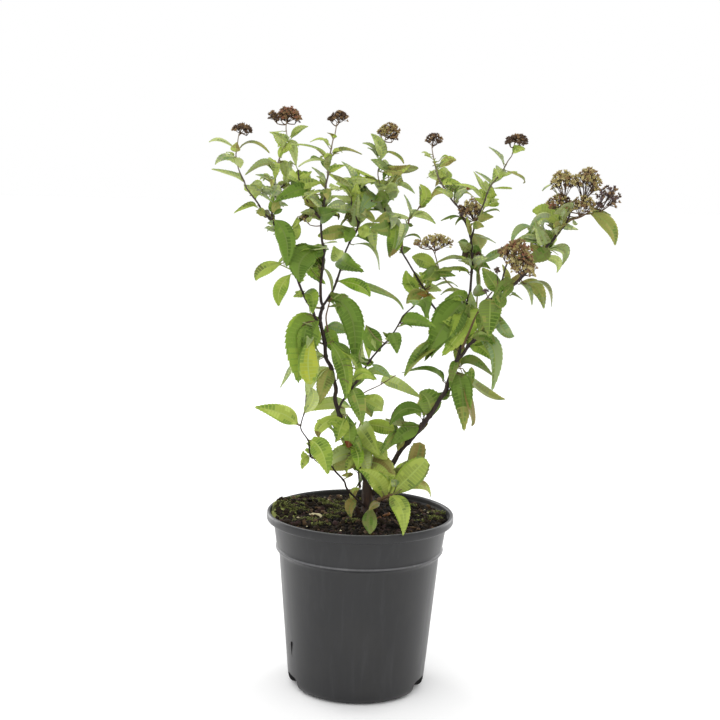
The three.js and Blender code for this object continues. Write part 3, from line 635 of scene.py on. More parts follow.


# ------------------------------------------------------------------ leaves that show
# base x, y, mid x, y, tip x, y, width in pixels, colour, then options:
# tip=colour, limb=name, near / far = tip nearer or farther (mm), under = the underside shows.
SHOWN = [
    # outer left shoot, front
    (236.5, 149, 220.5, 141, 208.5, 142, 3.5, "pale"), (239.5, 148, 253, 142.5, 270, 153.5, 2.5, "olive"),
    (236, 157, 222.5, 157.5, 215, 165, 7, "ash"), (235, 157, 240, 163.5, 240, 168, 8.5, "pale"),
    (243.5, 182, 233, 175, 211, 169, 5.5, "pale"), (236, 152, 235.5, 148, 237, 142, 10, "straw"),
    (256.5, 206, 248.5, 205.5, 233.5, 213.5, 6, "apple"), (266, 216.5, 260, 211.5, 256.5, 213.5, 8.5, "olive"),
    (262, 191, 256, 185, 250, 185, 12, "mint"), (262, 192, 253.5, 190.5, 243.5, 184.5, 10.5, "mint", {"near": 22}),
    (262, 192, 255, 193.5, 256, 201.5, 8, "spring"), (262, 189, 268, 194, 262, 183.5, 8, "blue"),
    (263, 190, 264.5, 188.5, 273, 190, 6, "ash"), (262, 193, 264, 195, 273.5, 203, 4, "ash"),
    # outer left shoot, back
    (287, 142, 282, 139.5, 272, 132, 13, "mint"), (291, 139, 298, 129.5, 308.5, 126.5, 7, "mint"),
    (287, 141, 292.5, 147, 296, 167, 10, "pale"), (287, 142, 280.5, 152, 279, 157.5, 6.5, "lime", {"near": 20}),
    (286, 143, 288.5, 146.5, 283.5, 153.5, 6.5, "lime"), (282, 131, 273, 133, 270, 131.5, 2.5, "pale"),
    (278, 163, 265, 161, 254.5, 164, 4, "lime"), (276.5, 167, 263, 163.5, 244.5, 175.5, 7, "sage"),
    (275, 163, 276, 167.5, 275, 179.5, 9, "apple", {"near": 18}), (283, 161, 285, 167, 287.5, 183.5, 11, "pale"),
    (272.5, 181, 265.5, 177, 255, 174.5, 3.5, "ash"), (274, 180, 272, 181.5, 272.5, 192.5, 5, "straw", {"near": 14}),
    (280, 184, 275.5, 191, 272.5, 197, 10, "ash", {"near": 14}), (285, 184, 285, 180, 288, 175, 3.5, "pale"),
    (294, 176, 300, 173, 301.5, 171.5, 7.5, "lime", {"near": 10}), (298, 178, 305.5, 175.5, 312, 171, 6, "lime"),
    (288, 177, 292, 175.5, 303.5, 185.5, 9, "lime", {"near": 22}), (284.5, 186, 286.5, 185, 295, 188.5, 4, "lime"),
    (296.5, 187, 307.5, 183, 321.5, 183, 11.5, "apple"), (308.5, 190, 296, 190.5, 273.5, 202.5, 14, "mid"),
    (301, 183, 305, 174.5, 310, 181, 8, "spring"), (296, 165, 290, 163, 292, 171.5, 4.5, "sage"),
    (272, 213, 272, 206, 273, 196, 7.5, "green"), (272, 214.5, 277.5, 204.5, 284, 207, 9.5, "olive"),
    (272.5, 215, 279, 211, 282.5, 209, 4.5, "deep"), (275.5, 205, 281.5, 204, 288.5, 206, 5, "ash"),
    (271, 215, 267, 214, 261, 212, 9, "dark"), (270, 215, 271, 216.5, 274.5, 225, 8, "dark"),
    (273, 223, 271, 223, 267, 223, 5.5, "ash"), (275.5, 229, 272, 228.5, 266, 228.5, 6.5, "ash"),
    (296, 218.5, 297, 232, 296.5, 240, 8.5, "apple"), (297, 217, 296.5, 223, 290, 228.5, 5.5, "apple"),
    (309.5, 219, 310.5, 212.5, 300, 213, 8, "sage"), (310.5, 219, 305, 216.5, 294, 225.5, 6, "dark"),
    (310, 217.5, 318.5, 215.5, 311, 202, 11.5, "mint"), (313, 216, 308, 220.5, 308, 222, 5, "mint"),
    (321, 206, 308, 202.5, 309.5, 188, 7.5, "straw"), (321.5, 204, 317.5, 203, 305.5, 192, 6.5, "ash"),
    (322, 208, 325, 202.5, 326.5, 196.5, 7, "dark", {"far": 4}),
    # left stem, upper
    (326, 159, 315, 148, 289.5, 144, 3, "spring"), (327, 161, 311, 160.5, 298, 167, 3.5, "pale"),
    (332, 148, 322.5, 139.5, 309.5, 142, 2.5, "lime"), (326, 186, 321.5, 176, 311.5, 167, 4, "ash"),
    (326.5, 193, 318, 192, 303.5, 199.5, 2.5, "mint"), (325, 188, 327.5, 193.5, 328, 200.5, 8.5, "olive"),
    (327, 163, 328, 155, 327, 153.5, 8.5, "lime"), (334, 136, 333, 135, 326.5, 132.5, 2.5, "brown"),
    (335, 138, 335, 136, 334.5, 134, 4, "spring"), (332, 156, 344.5, 150, 362.5, 154.5, 3.5, "olive"),
    (329, 173, 333, 168.5, 346, 165, 7, "spring"), (331, 174, 344, 182, 350.5, 186, 6, "sage"),
    (330.5, 173, 326.5, 162.5, 332.5, 155, 6, "sage", {"near": 11}), (328, 192, 334.5, 187.5, 341.5, 190, 4.5, "mint"),
    (321.5, 199, 328.5, 198, 339, 195.5, 5, "mint"), (325, 200, 327.5, 202, 332.5, 199, 5, "ash"),
    (347, 211, 339, 206, 324.5, 209.5, 13, "ash"), (321, 214, 324, 215, 339, 210, 16.5, "deep"),
    (331, 216, 338, 215, 338, 220.5, 4, "dark"), (354, 198, 348, 199, 333.5, 195.5, 7, "pale"),
    (351, 201, 346, 209, 330.5, 206, 10, "ash"),
    # left stem, back branch
    (353, 182.5, 353, 173, 341, 161, 7.5, "ash"), (378, 183, 362, 174, 347, 167, 4, "spring"),
    (351, 186, 355.5, 181.5, 376.5, 181, 10, "mint"), (352, 190, 364, 191, 370, 192.5, 5.5, "green"),
    (353, 198, 356, 191, 356.5, 183, 9, "lime"), (352, 197, 349.5, 190.5, 345, 182.5, 7.5, "pale"),
    (352, 196, 346.5, 186.5, 325.5, 171.5, 6, "spring"), (353, 203.5, 357, 198.5, 366, 191, 9, "lime"),
    (377, 196, 368, 200.5, 359.5, 214, 17.5, "blue", {"near": 31}), (374, 202, 383, 195.5, 389, 200, 10, "dusk"),
    (367.5, 208.5, 367.5, 217, 361.5, 213.5, 17, "olive"), (359.5, 226.5, 356, 218, 358.5, 193.5, 16.5, "grey"),
    (352.5, 228, 331.5, 233, 317.5, 236, 14.5, "olive"), (353, 227, 349, 234.5, 345.5, 242.5, 12.5, "mid"),
    (351, 229, 348, 232.5, 332, 239, 9.5, "green"), (351.5, 244.5, 371.5, 248, 379.5, 270.5, 5, "grey", {"belly": 1.5, "point": 0.8}),
    (325, 243, 334, 242, 337.5, 242, 2, "ash"), (349, 222, 344, 221, 338, 233, 2.5, "dusk"),
    (351, 224.5, 347.5, 215.5, 343.5, 223, 7, "dark"),
    (361, 229, 370, 225.5, 385.5, 224, 5, "mint"), (357.5, 228, 366.5, 232.5, 372, 232.5, 13.5, "spring"),
    (360, 222, 361, 219, 369.5, 215.5, 7, "grey"), (374, 230, 372.5, 235.5, 376, 251, 11, "mint"),
    (344, 256, 344.5, 262.5, 364.5, 272, 18, "mid"), (344, 256, 338, 256.5, 333.5, 245.5, 15.5, "apple"),
    (337.5, 281, 360, 286, 370, 297, 13, "bright"), (338.5, 281, 383, 292.5, 403.5, 310, 7.5, "fern", {"far": 8}),
    (324, 268, 329.5, 278, 332, 291, 4, "sage"),
    (331.5, 297, 352, 319.5, 353.5, 367, 23, "bottle", {"near": 6}), (330, 295, 333, 297, 349.5, 296, 10, "dusk"),
    (329, 307, 336.5, 305.5, 342, 306, 3, "dusk"), (324.5, 308, 316, 308, 310, 305, 2, "brown"),
    # outer left stem
    (274, 219.5, 286, 238.5, 286.5, 267.5, 19.5, "mid", {"near": 10}), (283, 263, 263, 270, 256, 281, 13, "apple"),
    (291, 274, 280, 289.5, 279, 306.5, 14.5, "fresh"), (320, 248, 301, 260.5, 301, 283.5, 26.5, "bottle", {"limb": "stem_left_upper"}),
    (324, 250, 315.5, 251.5, 293.5, 245, 11, "deep"), (321, 253.5, 311, 265.5, 326, 284.5, 16.5, "bright", {"far": 7}),
    (321, 252.5, 318, 266, 309, 262.5, 15.5, "deep"),
    (303, 294.5, 312, 296.5, 312, 314.5, 14.5, "green"), (302, 294, 300, 294, 293, 297, 8, "apple"),
    (326.5, 247.5, 322.5, 247.5, 301, 251, 3.5, "ash"),
    (319.5, 317.5, 302.5, 337, 298.5, 383.5, 36, "green", {"near": 16}), (317.5, 325, 308.5, 354, 311, 384.5, 20.5, "yellow", {"near": 38, "limb": "stem_left", "belly": 1.5, "point": 0.7}),
    (331, 368, 325, 381.5, 319.5, 405, 17.5, "olive", {"near": 10}), (291, 363.5, 290, 371.5, 279.5, 388.5, 4.5, "ash", {"limb": "stem_left"}),
    (331, 367.5, 313, 378, 308.5, 404.5, 11, "pale", {"near": 4}),
    (325.5, 327, 336.5, 327.5, 347.5, 333, 12.5, "blue"), (325, 326.5, 331, 339, 337, 355.5, 16, "green", {"far": 11}),
    (330, 342.5, 343.5, 367.5, 345.5, 400.5, 18.5, "green", {"near": 14}), (332, 341, 346, 349.5, 348, 355.5, 6.5, "deep"),
    (325.5, 339, 315.5, 342, 319.5, 353, 3.5, "ash"), (326, 357, 317, 357, 320, 368, 7, "pale"),
    # centre front
    (353, 380.5, 362.5, 373.5, 377, 380, 12.5, "fresh", {"near": 18}), (357, 381, 356, 363.5, 339.5, 349.5, 7.5, "fresh"),
    (373.5, 362, 366.5, 362.5, 349, 352.5, 7.5, "bottle"), (371, 360.5, 361.5, 359, 363, 340.5, 7, "grey"),
    (369, 361, 370, 338, 376, 350, 11, "fresh"), (366, 325, 373, 340, 380, 352, 19.5, "mid", {"limb": "stem_centre_front", "far": 8}),
    (391, 333, 395, 339.5, 397, 354, 14, "bottle"), (392, 335, 388, 336, 382.5, 331.5, 5, "dusk"),
    (399.5, 321, 414.5, 319.5, 437, 328.5, 14, "mid"), (412, 307, 415.5, 302.5, 407.5, 301, 8, "blue"),
    (413, 306, 425, 301, 425, 321, 15, "bottle", {"far": 31}),
    (371, 364, 382.5, 371, 391, 379, 7, "blue"), (351, 387.5, 357, 400.5, 362.5, 426, 18, "fern", {"limb": "stem_centre_front", "near": 4}),
    (362, 398, 378, 404.5, 382, 411.5, 17.5, "spring", {"limb": "twig_shoot"}), (363, 404, 368.5, 408.5, 371.5, 417.5, 12, "olive", {"limb": "twig_shoot"}),
    (381, 382, 394, 383, 423.5, 399, 12, "mint"), (362, 424, 384.5, 427, 401.5, 434, 15, "lime"),
    (358, 428, 363.5, 433.5, 380, 457, 23, "apple"), (372, 440, 380, 451.5, 387.5, 459, 17, "lime", {"limb": "shoot_centre"}),
    (360, 446, 363.5, 456.5, 368.5, 474.5, 19.5, "mint", {"near": 30}), (365, 462, 383, 467, 394, 485, 22, "straw", {"limb": "shoot_centre", "near": 29}),
    # left stem, low
    (343.5, 414.5, 321.5, 425.5, 319.5, 438.5, 12, "lime", {"tip": "brown"}), (345, 417, 340.5, 428, 336.5, 441.5, 16.5, "fresh", {"near": 10}),
    (347, 414, 349.5, 434.5, 347.5, 448, 15, "green", {"tip": "red"}), (344, 408, 342.5, 411, 330, 414.5, 14, "pale"),
    (345, 428, 336, 422, 327, 424, 11.5, "fresh", {"near": 14}),
    (360.5, 456, 342, 455, 326, 466.5, 21, "pale", {"near": 10}), (360.5, 462, 344, 465.5, 325, 470, 11, "olive"),
    (360, 448, 357, 445, 341, 445, 9, "fresh", {"near": 21}),
    # shoot from the base
    (298, 425, 282, 413.5, 254, 407, 18, "spring", {"tip": "spring"}), (351.5, 408, 331, 403.5, 304.5, 412.5, 13, "lime", {"near": 53}),
    (303, 414, 313, 399, 310, 386.5, 12.5, "mint", {"near": 9}), (310, 440, 321.5, 451, 328, 475, 22, "fresh", {"near": 8}),
    (310, 456.5, 304.5, 461.5, 302, 469.5, 8.5, "apple"), (309, 455.5, 303, 455, 303.5, 450.5, 7, "lime"),
    (343.5, 480, 349, 474.5, 341, 476, 8.5, "straw"), (355, 489, 361, 475.5, 354.5, 467, 3.5, "grey"),
    # right stem, low
    (424.5, 413, 404.5, 409, 389.5, 426, 14, "deep"), (431, 418, 428, 400.5, 419, 392.5, 26, "fern", {"far": 8}),
    (420.5, 426, 406, 432, 391, 445.5, 16.5, "bottle"), (405, 441, 393, 438.5, 380.5, 456.5, 13, "fern"),
    (406, 440, 400, 444.5, 398, 451, 7, "olive"), (422, 425, 400.5, 425, 385, 418.5, 5, "sage"),
    (450.5, 388, 444, 396, 429.5, 391.5, 9, "dusk", {"far": 13}), (425, 420, 426, 423.5, 418, 434.5, 4.5, "brown"),
    (444, 382, 429.5, 370, 400.5, 373, 5.5, "mid"), (446, 342, 422, 353.5, 404, 377, 13.5, "fern"),
    (457, 361.5, 453.5, 368, 449.5, 389, 9, "dusk", {"near": 11}), (457, 371.5, 462, 392.5, 464, 432, 22, "bottle", {"tip": "olive", "near": 10}),
    (461, 375.5, 471, 409.5, 471.5, 426, 8.5, "brown"), (471.5, 386, 471.5, 373, 471.5, 367, 7, "fern", {"limb": "stem_right_outer"}),
    (462.5, 368.5, 481.5, 390.5, 506, 399, 8.5, "sage", {"tip": "olive"}),
    (460, 366.5, 474, 361.5, 496, 379.5, 9, "dusk"), (466.5, 345, 479, 346, 494.5, 362, 15, "fresh"),
    (470, 339, 492.5, 348, 491.5, 392, 17, "blue"), (471, 338, 485, 335, 495.5, 344, 13, "dusk", {"near": 24}),
    (465, 301, 447, 321, 428.5, 353.5, 33, "bottle", {"near": 15}), (462.5, 309, 465.5, 322.5, 441.5, 356.5, 28.5, "fresh", {"near": 14}),
    (468, 296, 452, 290.5, 440, 295, 4.5, "sage"), (465, 303, 461, 295.5, 444, 300, 12, "green"),
    (461, 341, 459, 350, 458.5, 368.5, 12, "olive"),
    # right, middle
    (421, 293, 410, 284, 406, 270, 14.5, "fresh", {"far": 8}), (426, 294, 413.5, 296, 406.5, 304, 13, "olive"),
    (427.5, 296, 425.5, 293.5, 416, 294, 8, "rust"), (430, 300, 425, 304, 429, 320, 10, "green"),
    (430, 286, 427, 278.5, 418.5, 272.5, 11, "lime"), (437, 267, 422, 260, 411.5, 257, 15, "apple"),
    (430, 274, 442.5, 273.5, 456, 276, 7.5, "fern", {"near": 11}), (436, 264, 431.5, 275.5, 422, 279.5, 15, "fern"),
    (469, 272, 454.5, 269, 433, 271, 5.5, "apple"), (433, 287, 448.5, 282.5, 458, 287, 2.5, "grey"),
    (467, 262, 453.5, 258, 434, 264, 3, "sage"), (427.5, 293, 429.5, 297, 436, 298.5, 7, "straw", {"near": 12}),
    (424, 287, 430.5, 287.5, 442, 291, 9, "pale"),
    (395.5, 221, 394.5, 241.5, 388.5, 257, 16.5, "green", {"near": 25, "tip": "brown"}), (400, 224, 404, 229, 395, 250, 9.5, "ash", {"near": 22}),
    (399.5, 253, 403.5, 250, 411, 248.5, 8, "dusk", {"far": 15}), (403, 238, 413, 235, 421, 239, 2, "dusk"),
    (390, 222, 385, 228.5, 370, 228, 17, "fern"), (388.5, 217, 385.5, 217.5, 374, 222, 11, "olive"),
    (386, 212, 393.5, 219, 390.5, 229.5, 8.5, "ash", {"near": 15}), (388, 218, 394.5, 220.5, 400.5, 228.5, 5, "dark"),
    # centre back shoot
    (381, 160, 380.5, 145.5, 370.5, 133.5, 11.5, "mint"), (378.5, 159, 373.5, 148, 362, 143, 3.5, "grey"),
    (385, 151, 397, 156, 404, 164, 3, "olive"), (388.5, 172, 380.5, 164, 370.5, 159.5, 8, "grey"),
    (382, 167.5, 396, 171, 411, 164.5, 11, "straw", {"limb": "stem_centre_back"}), (384, 172, 408, 169.5, 418.5, 168, 8.5, "sage", {"limb": "stem_centre_back", "far": 4}),
    (400, 170, 398, 183, 399, 185.5, 9, "straw", {"limb": "stem_centre_back"}), (389, 172, 384.5, 176, 383.5, 180.5, 3, "deep"),
    (383, 194, 398, 178, 403, 186, 7, "olive"), (398.5, 184, 406, 186, 415, 194, 5.5, "grey", {"limb": "stem_centre_back"}),
    (383, 195.5, 394.5, 190, 399, 192.5, 16, "mint"), (381.5, 184, 377, 182, 365.5, 183, 5, "spring"),
    (411, 219, 410, 209.5, 404, 194, 3.5, "ash"), (382.5, 207, 383, 205, 389, 205, 7, "dusk"),
    (382, 210, 372.5, 210, 363.5, 209, 2, "dusk"), (378, 190, 379, 188, 387.5, 186.5, 12.5, "mint"),
    # right stem, upper shoot
    (430.5, 157, 426, 153, 421.5, 152.5, 2.5, "pale"), (435, 169, 437.5, 164.5, 432, 166, 2, "ash"),
    (439, 168, 448, 160.5, 456.5, 160.5, 9.5, "straw"), (439, 161, 445, 156, 451, 161, 2, "lime"),
    (440, 182.5, 445, 174, 448, 169.5, 15, "apple"), (440, 178, 441.5, 175.5, 437, 169, 8, "lime"),
    (437, 181, 433, 174, 431, 172, 9.5, "pale"), (442.5, 186, 450.5, 182, 466, 188, 7, "spring"),
    (439, 176, 438, 181, 435, 187, 3.5, "brown"), (449, 192, 437, 192, 431, 200, 6, "straw"),
    (450.5, 192, 452.5, 187, 457, 186, 2.5, "dusk"), (452, 199, 448, 193, 436.5, 189.5, 6.5, "mint"),
    (437, 167.5, 434, 162, 436, 158.5, 2, "straw"),
    (420, 206, 426.5, 195, 419.5, 184, 10.5, "lime"), (420, 208, 423, 202, 419, 185.5, 7.5, "sage"),
    (411, 217, 422.5, 215, 436, 224.5, 7.5, "mint"), (410.5, 218, 398, 216.5, 381, 208.5, 5, "pale"),
    (408.5, 223, 411, 225.5, 413, 225.5, 4, "dusk"),
    (461.5, 217, 451.5, 217, 440.5, 221, 2.5, "dusk"), (466, 220.5, 461, 218.5, 455, 225.5, 3, "dusk"),
    (458.5, 202, 459.5, 193.5, 473, 187, 6.5, "ash", {"tip": "red"}), (457, 204, 462.5, 192.5, 475, 197.5, 5, "olive"),
    # right front shoot
    (504.5, 164, 499.5, 156, 488.5, 146.5, 3, "ash"), (512.5, 154, 517, 148.5, 525, 150.5, 8, "spring", {"near": 16}),
    (505, 171, 500, 171, 500, 179, 13, "apple"), (502, 174.5, 497, 177, 494, 167.5, 12.5, "apple"),
    (505, 170, 522.5, 178, 523, 183.5, 3, "olive"), (492, 185, 487.5, 179.5, 475, 171, 4, "ash"),
    (487, 193, 481, 184, 473.5, 171, 5, "mint"), (493, 188, 507.5, 188.5, 511.5, 188.5, 2, "lime"),
    (488, 199, 491, 193.5, 489, 182.5, 9, "lime", {"near": 19}), (486, 200, 482, 193, 477, 191, 8.5, "lime"),
    (482.5, 200, 472.5, 188.5, 454.5, 185, 3, "lime"), (489, 197.5, 493, 194, 497, 195.5, 7.5, "lime"),
    (489, 199, 491.5, 200.5, 499.5, 199, 6, "pale"), (490, 201, 486, 202, 474.5, 198, 9.5, "lime", {"near": 15}),
    (486, 206, 497, 203, 493, 200, 6, "spring"), (480, 214, 494, 210, 500, 211.5, 2, "dusk"),
    (476.5, 220, 482, 217, 494, 217, 10.5, "olive"), (473, 228, 477.5, 225, 484.5, 227, 8.5, "olive"),
    (473, 233, 478.5, 242, 477.5, 252.5, 18.5, "olive"), (475, 235, 486.5, 238.5, 496.5, 243, 2, "ash"),
    (471, 250, 466, 247, 458.5, 241, 10.5, "sage"), (471, 254, 467, 250, 462, 257, 8.5, "dark"),
    (472, 254.5, 475.5, 249, 482, 257.5, 8.5, "deep"), (472, 247, 472.5, 254, 469.5, 258.5, 8.5, "olive"),
    (474, 265, 478.5, 260, 488.5, 257.5, 9.5, "ash"), (480.5, 263.5, 495.5, 254.5, 507, 249, 8.5, "blue"),
    (471.5, 262, 469.5, 262, 461, 260, 7.5, "sage"), (467, 258, 458.5, 258, 449, 257, 4, "lime"),
    # right, behind and beside
    (499, 294, 492, 281, 482, 267.5, 15.5, "fern"), (480, 270, 482, 264, 491, 269.5, 7.5, "dusk"),
    (476, 286, 478, 291, 487, 293, 12.5, "dusk"), (514, 281, 503, 284, 493, 300, 9, "dusk", {"near": 14}),
    (520, 282, 537, 288, 544, 309.5, 13.5, "olive", {"tip": "sage"}), (518, 284, 528, 288, 532, 306, 5.5, "ash"),
    (505, 290, 512, 282.5, 524.5, 270, 7, "brown"), (490, 298, 490, 311, 489, 338, 23.5, "fern", {"near": 8}),
    (490, 305.5, 504, 329.5, 514.5, 336, 12, "blue", {"limb": "stem_right_outer"}), (484.5, 317.5, 482.5, 319.5, 479, 332, 15, "fern", {"near": 2}),
    (505, 290, 500, 302.5, 494, 290.5, 11, "fern"),
    # outer right
    (541, 258.5, 557, 260.5, 556.5, 273.5, 8.5, "mint"), (546.5, 250, 564.5, 249, 561.5, 266, 10.5, "grey"),
    (563, 227, 566, 226.5, 579, 230, 7, "ash"), (589, 213, 609, 225, 615, 246, 14, "olive"),
    (590, 212, 597, 211, 607, 216, 6, "olive"), (563, 225, 548, 213, 532, 211.5, 19, "apple"),
    (564, 222, 565, 209, 553.5, 214, 18.5, "sage"), (556, 230, 542, 219, 526.5, 241.5, 11, "ash"),
    (537, 231, 521, 228.5, 510.5, 248.5, 8, "blue"), (556, 238.5, 550, 239.5, 526.5, 227, 19.5, "pale"),
    (545, 244, 543, 239, 534.5, 220.5, 13.5, "grey"), (546, 245, 530.5, 238.5, 513, 244, 8.5, "grey", {"tip": "dusk"}),
    (549.5, 249, 541, 255, 522.5, 262, 15, "dusk", {"near": 2}), (545, 246, 535, 249, 531, 241, 8, "straw"),
    (557, 237, 557.5, 229, 551, 232, 9.5, "sage"), (573, 219, 575, 223.5, 578, 223.5, 4, "ash"),
    (552, 184, 546.5, 187, 542, 191, 2, "ash"), (557, 231, 559, 225, 576.5, 217.5, 9, "straw"),
    # base of the plant
    (388.5, 496, 407, 479, 426.5, 459, 25, "apple", {"near": 4, "belly": 0.8, "point": 0.5}), (382.5, 501, 379, 482, 358.5, 469, 18.5, "spring", {"near": 10, "belly": 0.8}),
    (390, 495, 402, 510, 403, 536, 19, "apple", {"near": 64, "belly": 0.5, "point": 1.1}), (371, 506, 369.5, 521, 370, 534.5, 15, "dusk", {"near": 75, "belly": 0.9}),
    (400, 490, 421, 485, 431.5, 498, 10, "straw", {"far": 20}), (361, 488, 353, 493, 355, 506, 7.5, "straw", {"near": 12}),
    (357, 500, 350, 506, 351.5, 518, 11.5, "brown", {"near": 14}), (394, 492, 390, 492, 384, 487, 13, "pale"),
    (396, 487, 394.5, 482, 391.5, 480, 9, "ash"),
    (388, 495, 411, 470, 420, 442, 17.5, "brown", {"far": 7, "belly": 1.6, "point": 0.45}),
    (351, 443, 358, 456, 357, 470, 13, "bright", {"limb": "stem_left", "near": 15}), (347, 433, 355, 440, 361.5, 453, 11, "fern", {"limb": "stem_left", "near": 12}),
    (355, 456, 349, 463, 346, 473, 8, "apple", {"limb": "stem_left", "near": 10}),
    (476, 313, 472, 303, 471, 291, 8, "grey", {"limb": "stem_parallel"}), (470, 322, 467, 313, 470, 304, 6, "dusk", {"limb": "stem_right_upper"}),
    (477, 326, 482, 318, 481, 309, 7, "fern", {"limb": "stem_parallel"}),
    (510, 296, 514, 294.5, 523, 300, 2.5, "grey", {"limb": "stem_right_outer"}), (524, 283.5, 545, 285.5, 552, 307.5, 4.5, "sage"),
    (513, 284, 508, 290, 501, 301, 9, "fern", {"near": 8}), (424, 290, 418, 280, 414, 271, 8, "olive", {"far": 12}),
    (508, 284, 507, 275, 502, 264, 6.5, "olive"), (478, 292, 477.5, 279, 476.5, 264, 5, "dusk", {"limb": "stem_parallel"}),
    (471, 236, 468.5, 227, 467, 216, 5, "straw"),
    (380, 503, 374, 505, 368.5, 511, 8, "brown", {"near": 30}),
]

# ------------------------------------------------------------------ placing them on the limbs
REGIONS = ("left", "centre", "right", "low")
bags = {r: Bag() for r in REGIONS}
twigs = Bag()
cover = np.full((720, 720), 1e9)    # depth of the nearest leaf that the main view shows there
followed = []                       # base, length, width and tint of each shown leaf


def region(p):
    if p[2] < 262:
        return "low"
    return "left" if p[0] < -36 else "right" if p[0] > 72 else "centre"


def blade_points(p0, p1, p2, side, width, nt=26, ns=9, belly=0.62, point=1.0):
    q = 2 * p1 - 0.5 * (p0 + p2)
    t = np.linspace(0.03, 0.97, nt)[:, None]
    c = p0 * (1 - t) ** 2 + q * 2 * t * (1 - t) + p2 * t * t
    peak = belly / (belly + point)
    norm = 1.0 / (peak ** belly * (1 - peak) ** point)
    w = 0.5 * width * norm * t ** belly * (1 - t) ** point
    s = np.linspace(-1, 1, ns)
    return (c[:, None, :] + side[None, None, :] * (w[:, :, None] * s[None, :, None])).reshape(-1, 3)


def mark(points):
    x, y = pixel(points)
    xi, yi = np.rint(x).astype(int), np.rint(y).astype(int)
    ok = (xi >= 0) & (xi < 720) & (yi >= 0) & (yi < 720)
    np.minimum.at(cover, (yi[ok], xi[ok]), points[ok, 1])


def behind(points):
    """The share of these points that a shown leaf hides from the main view."""
    x, y = pixel(points)
    xi = np.clip(np.rint(x).astype(int), 0, 719)
    yi = np.clip(np.rint(y).astype(int), 0, 719)
    return float(np.mean(cover[yi, xi] < points[:, 1] + 2.0))


def stalk_tone(z, rng):
    if z > 430:
        return rng.choice((T_GREEN, T_OLIVE, T_GREEN))
    if z > 330:
        return rng.choice((T_GREEN, T_OLIVE, T_BROWN))
    return rng.choice((T_OLIVE, T_BROWN, T_DARK))


Z = np.array((0.0, 0.0, 1.0))
far_bases = []
for number, entry in enumerate(SHOWN):
    bx, by, mx, my, tx, ty, wpx, tint = entry[:8]
    opt = entry[8] if len(entry) > 8 else {}
    if "mid" in opt:
        mx, my = opt["mid"]
    rng = random.Random(5000 + number)
    gap, limb, at, along = nearest_by_pixel(bx, by, opt.get("limb"))
    if gap > 9:
        far_bases.append((round(gap), limb, entry[:8]))
    depth = float(at[1])
    base = place(bx, by, depth)
    k = (depth - EYE[1]) / FOCAL
    seen = (math.hypot(mx - bx, my - by) + math.hypot(tx - mx, ty - my)) * k
    wide = wpx * k
    length = max(1.03 * seen, 2.1 * wide)
    width = max(wide, seen / 3.4)
    dd = math.sqrt(max(0.0, length ** 2 - seen ** 2)) * (-1 if rng.random() < 0.6 else 1)
    if "near" in opt:
        dd = -opt["near"]
    if "far" in opt:
        dd = opt["far"]
    mid, tip = place(mx, my, depth + 0.55 * dd), place(tx, ty, depth + dd)
    T = unit(tip - base)
    V = unit((base + tip) * 0.5 - EYE)
    S0 = unit(np.cross(T, V))
    Nc = -unit(V - T * float(V @ T))
    phi = math.acos(min(1.0, wide / width)) * (1 if S0[2] >= 0 else -1)
    S = -S0 * math.cos(phi) + Nc * math.sin(phi)
    if opt.get("under"):
        S = -S
    bag = bags[region((base + tip) * 0.5)]
    belly, point = opt.get("belly", 0.62), opt.get("point", 1.0)
    leaf(bag, base, mid, tip, S, width, tint, 100 + number, opt.get("tip"), fold=rng.uniform(0.16, 0.36),
         twist=rng.uniform(-0.25, 0.25), curl=rng.uniform(-0.05, 0.12), belly=belly, point=point)
    mark(blade_points(base, mid, tip, S, width, 60, 25, belly, point))
    followed.append((base, length, width, tint, mid))
    r = 0.42 if width < 9 else 0.55
    bend = (at + base) * 0.5 + np.array((0.0, 0.0, -0.12 * gap * k))
    inner = base + (mid - base) * 0.12
    if gap > 1.2:
        tube(twigs, [at, bend, base, inner], (r * 1.15, r * 0.8), 6, stalk_tone(base[2], rng), step=1.2)
    else:
        tube(twigs, [at, inner], (r * 1.15, r * 0.8), 6, stalk_tone(base[2], rng), step=1.2)
    knobs[limb].append((along, rng.uniform(0.2, 0.4)))
if far_bases:
    print("leaves far from a limb:", far_bases)
for _dy, _dx in ((0, 1), (1, 0), (0, -1), (-1, 0)):
    cover = np.minimum(cover, np.roll(cover, (_dy, _dx), (0, 1)))

# ------------------------------------------------------------------ the leaves behind and inside
mass_names = [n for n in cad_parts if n.startswith("leaves_") or n.startswith("leaf_")]
mass_verts, mass_faces = [], []
for n in mass_names:
    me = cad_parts[n].data
    off = len(mass_verts)
    mass_verts.extend(tuple(v.co) for v in me.vertices)
    mass_faces.extend(tuple(i + off for i in p.vertices) for p in me.polygons)
mass_tree = BVHTree.FromPolygons(mass_verts, mass_faces)


def in_mass(p, slack=2.0):
    hit = mass_tree.find_nearest(Vector(p) * MM)
    if hit[0] is None:
        return False
    if (Vector(p) * MM - hit[0]).dot(hit[1]) < 0:
        return True
    return hit[3] < slack * MM


fill_mids = []
follow_base = np.array([f[0] for f in followed])
follow_mid = np.array([f[4] for f in followed])
NEIGHBOURS = {"lime": ("spring", "lime"), "spring": ("fresh", "lime", "spring"), "fresh": ("green", "fresh", "spring"),
              "bright": ("fresh", "green"), "green": ("mid", "green", "fresh"), "mid": ("deep", "mid", "green"),
              "deep": ("mid", "deep"), "grey": ("ash", "grey", "green"), "ash": ("grey",), "blue": ("blue", "green"),
              "olive": ("green", "olive"), "dusk": ("green", "deep"), "brown": ("olive", "green"), "yellow": ("lime", "fresh"),
              "pale": ("lime", "spring"), "straw": ("lime", "olive"), "dark": ("green", "mid"), "mint": ("lime", "mint", "grey"),
              "apple": ("fresh", "spring", "apple"), "fern": ("mid", "green", "fern"), "sage": ("olive", "fern", "sage"),
              "bottle": ("deep", "mid"), "lemon": ("lime", "spring")}


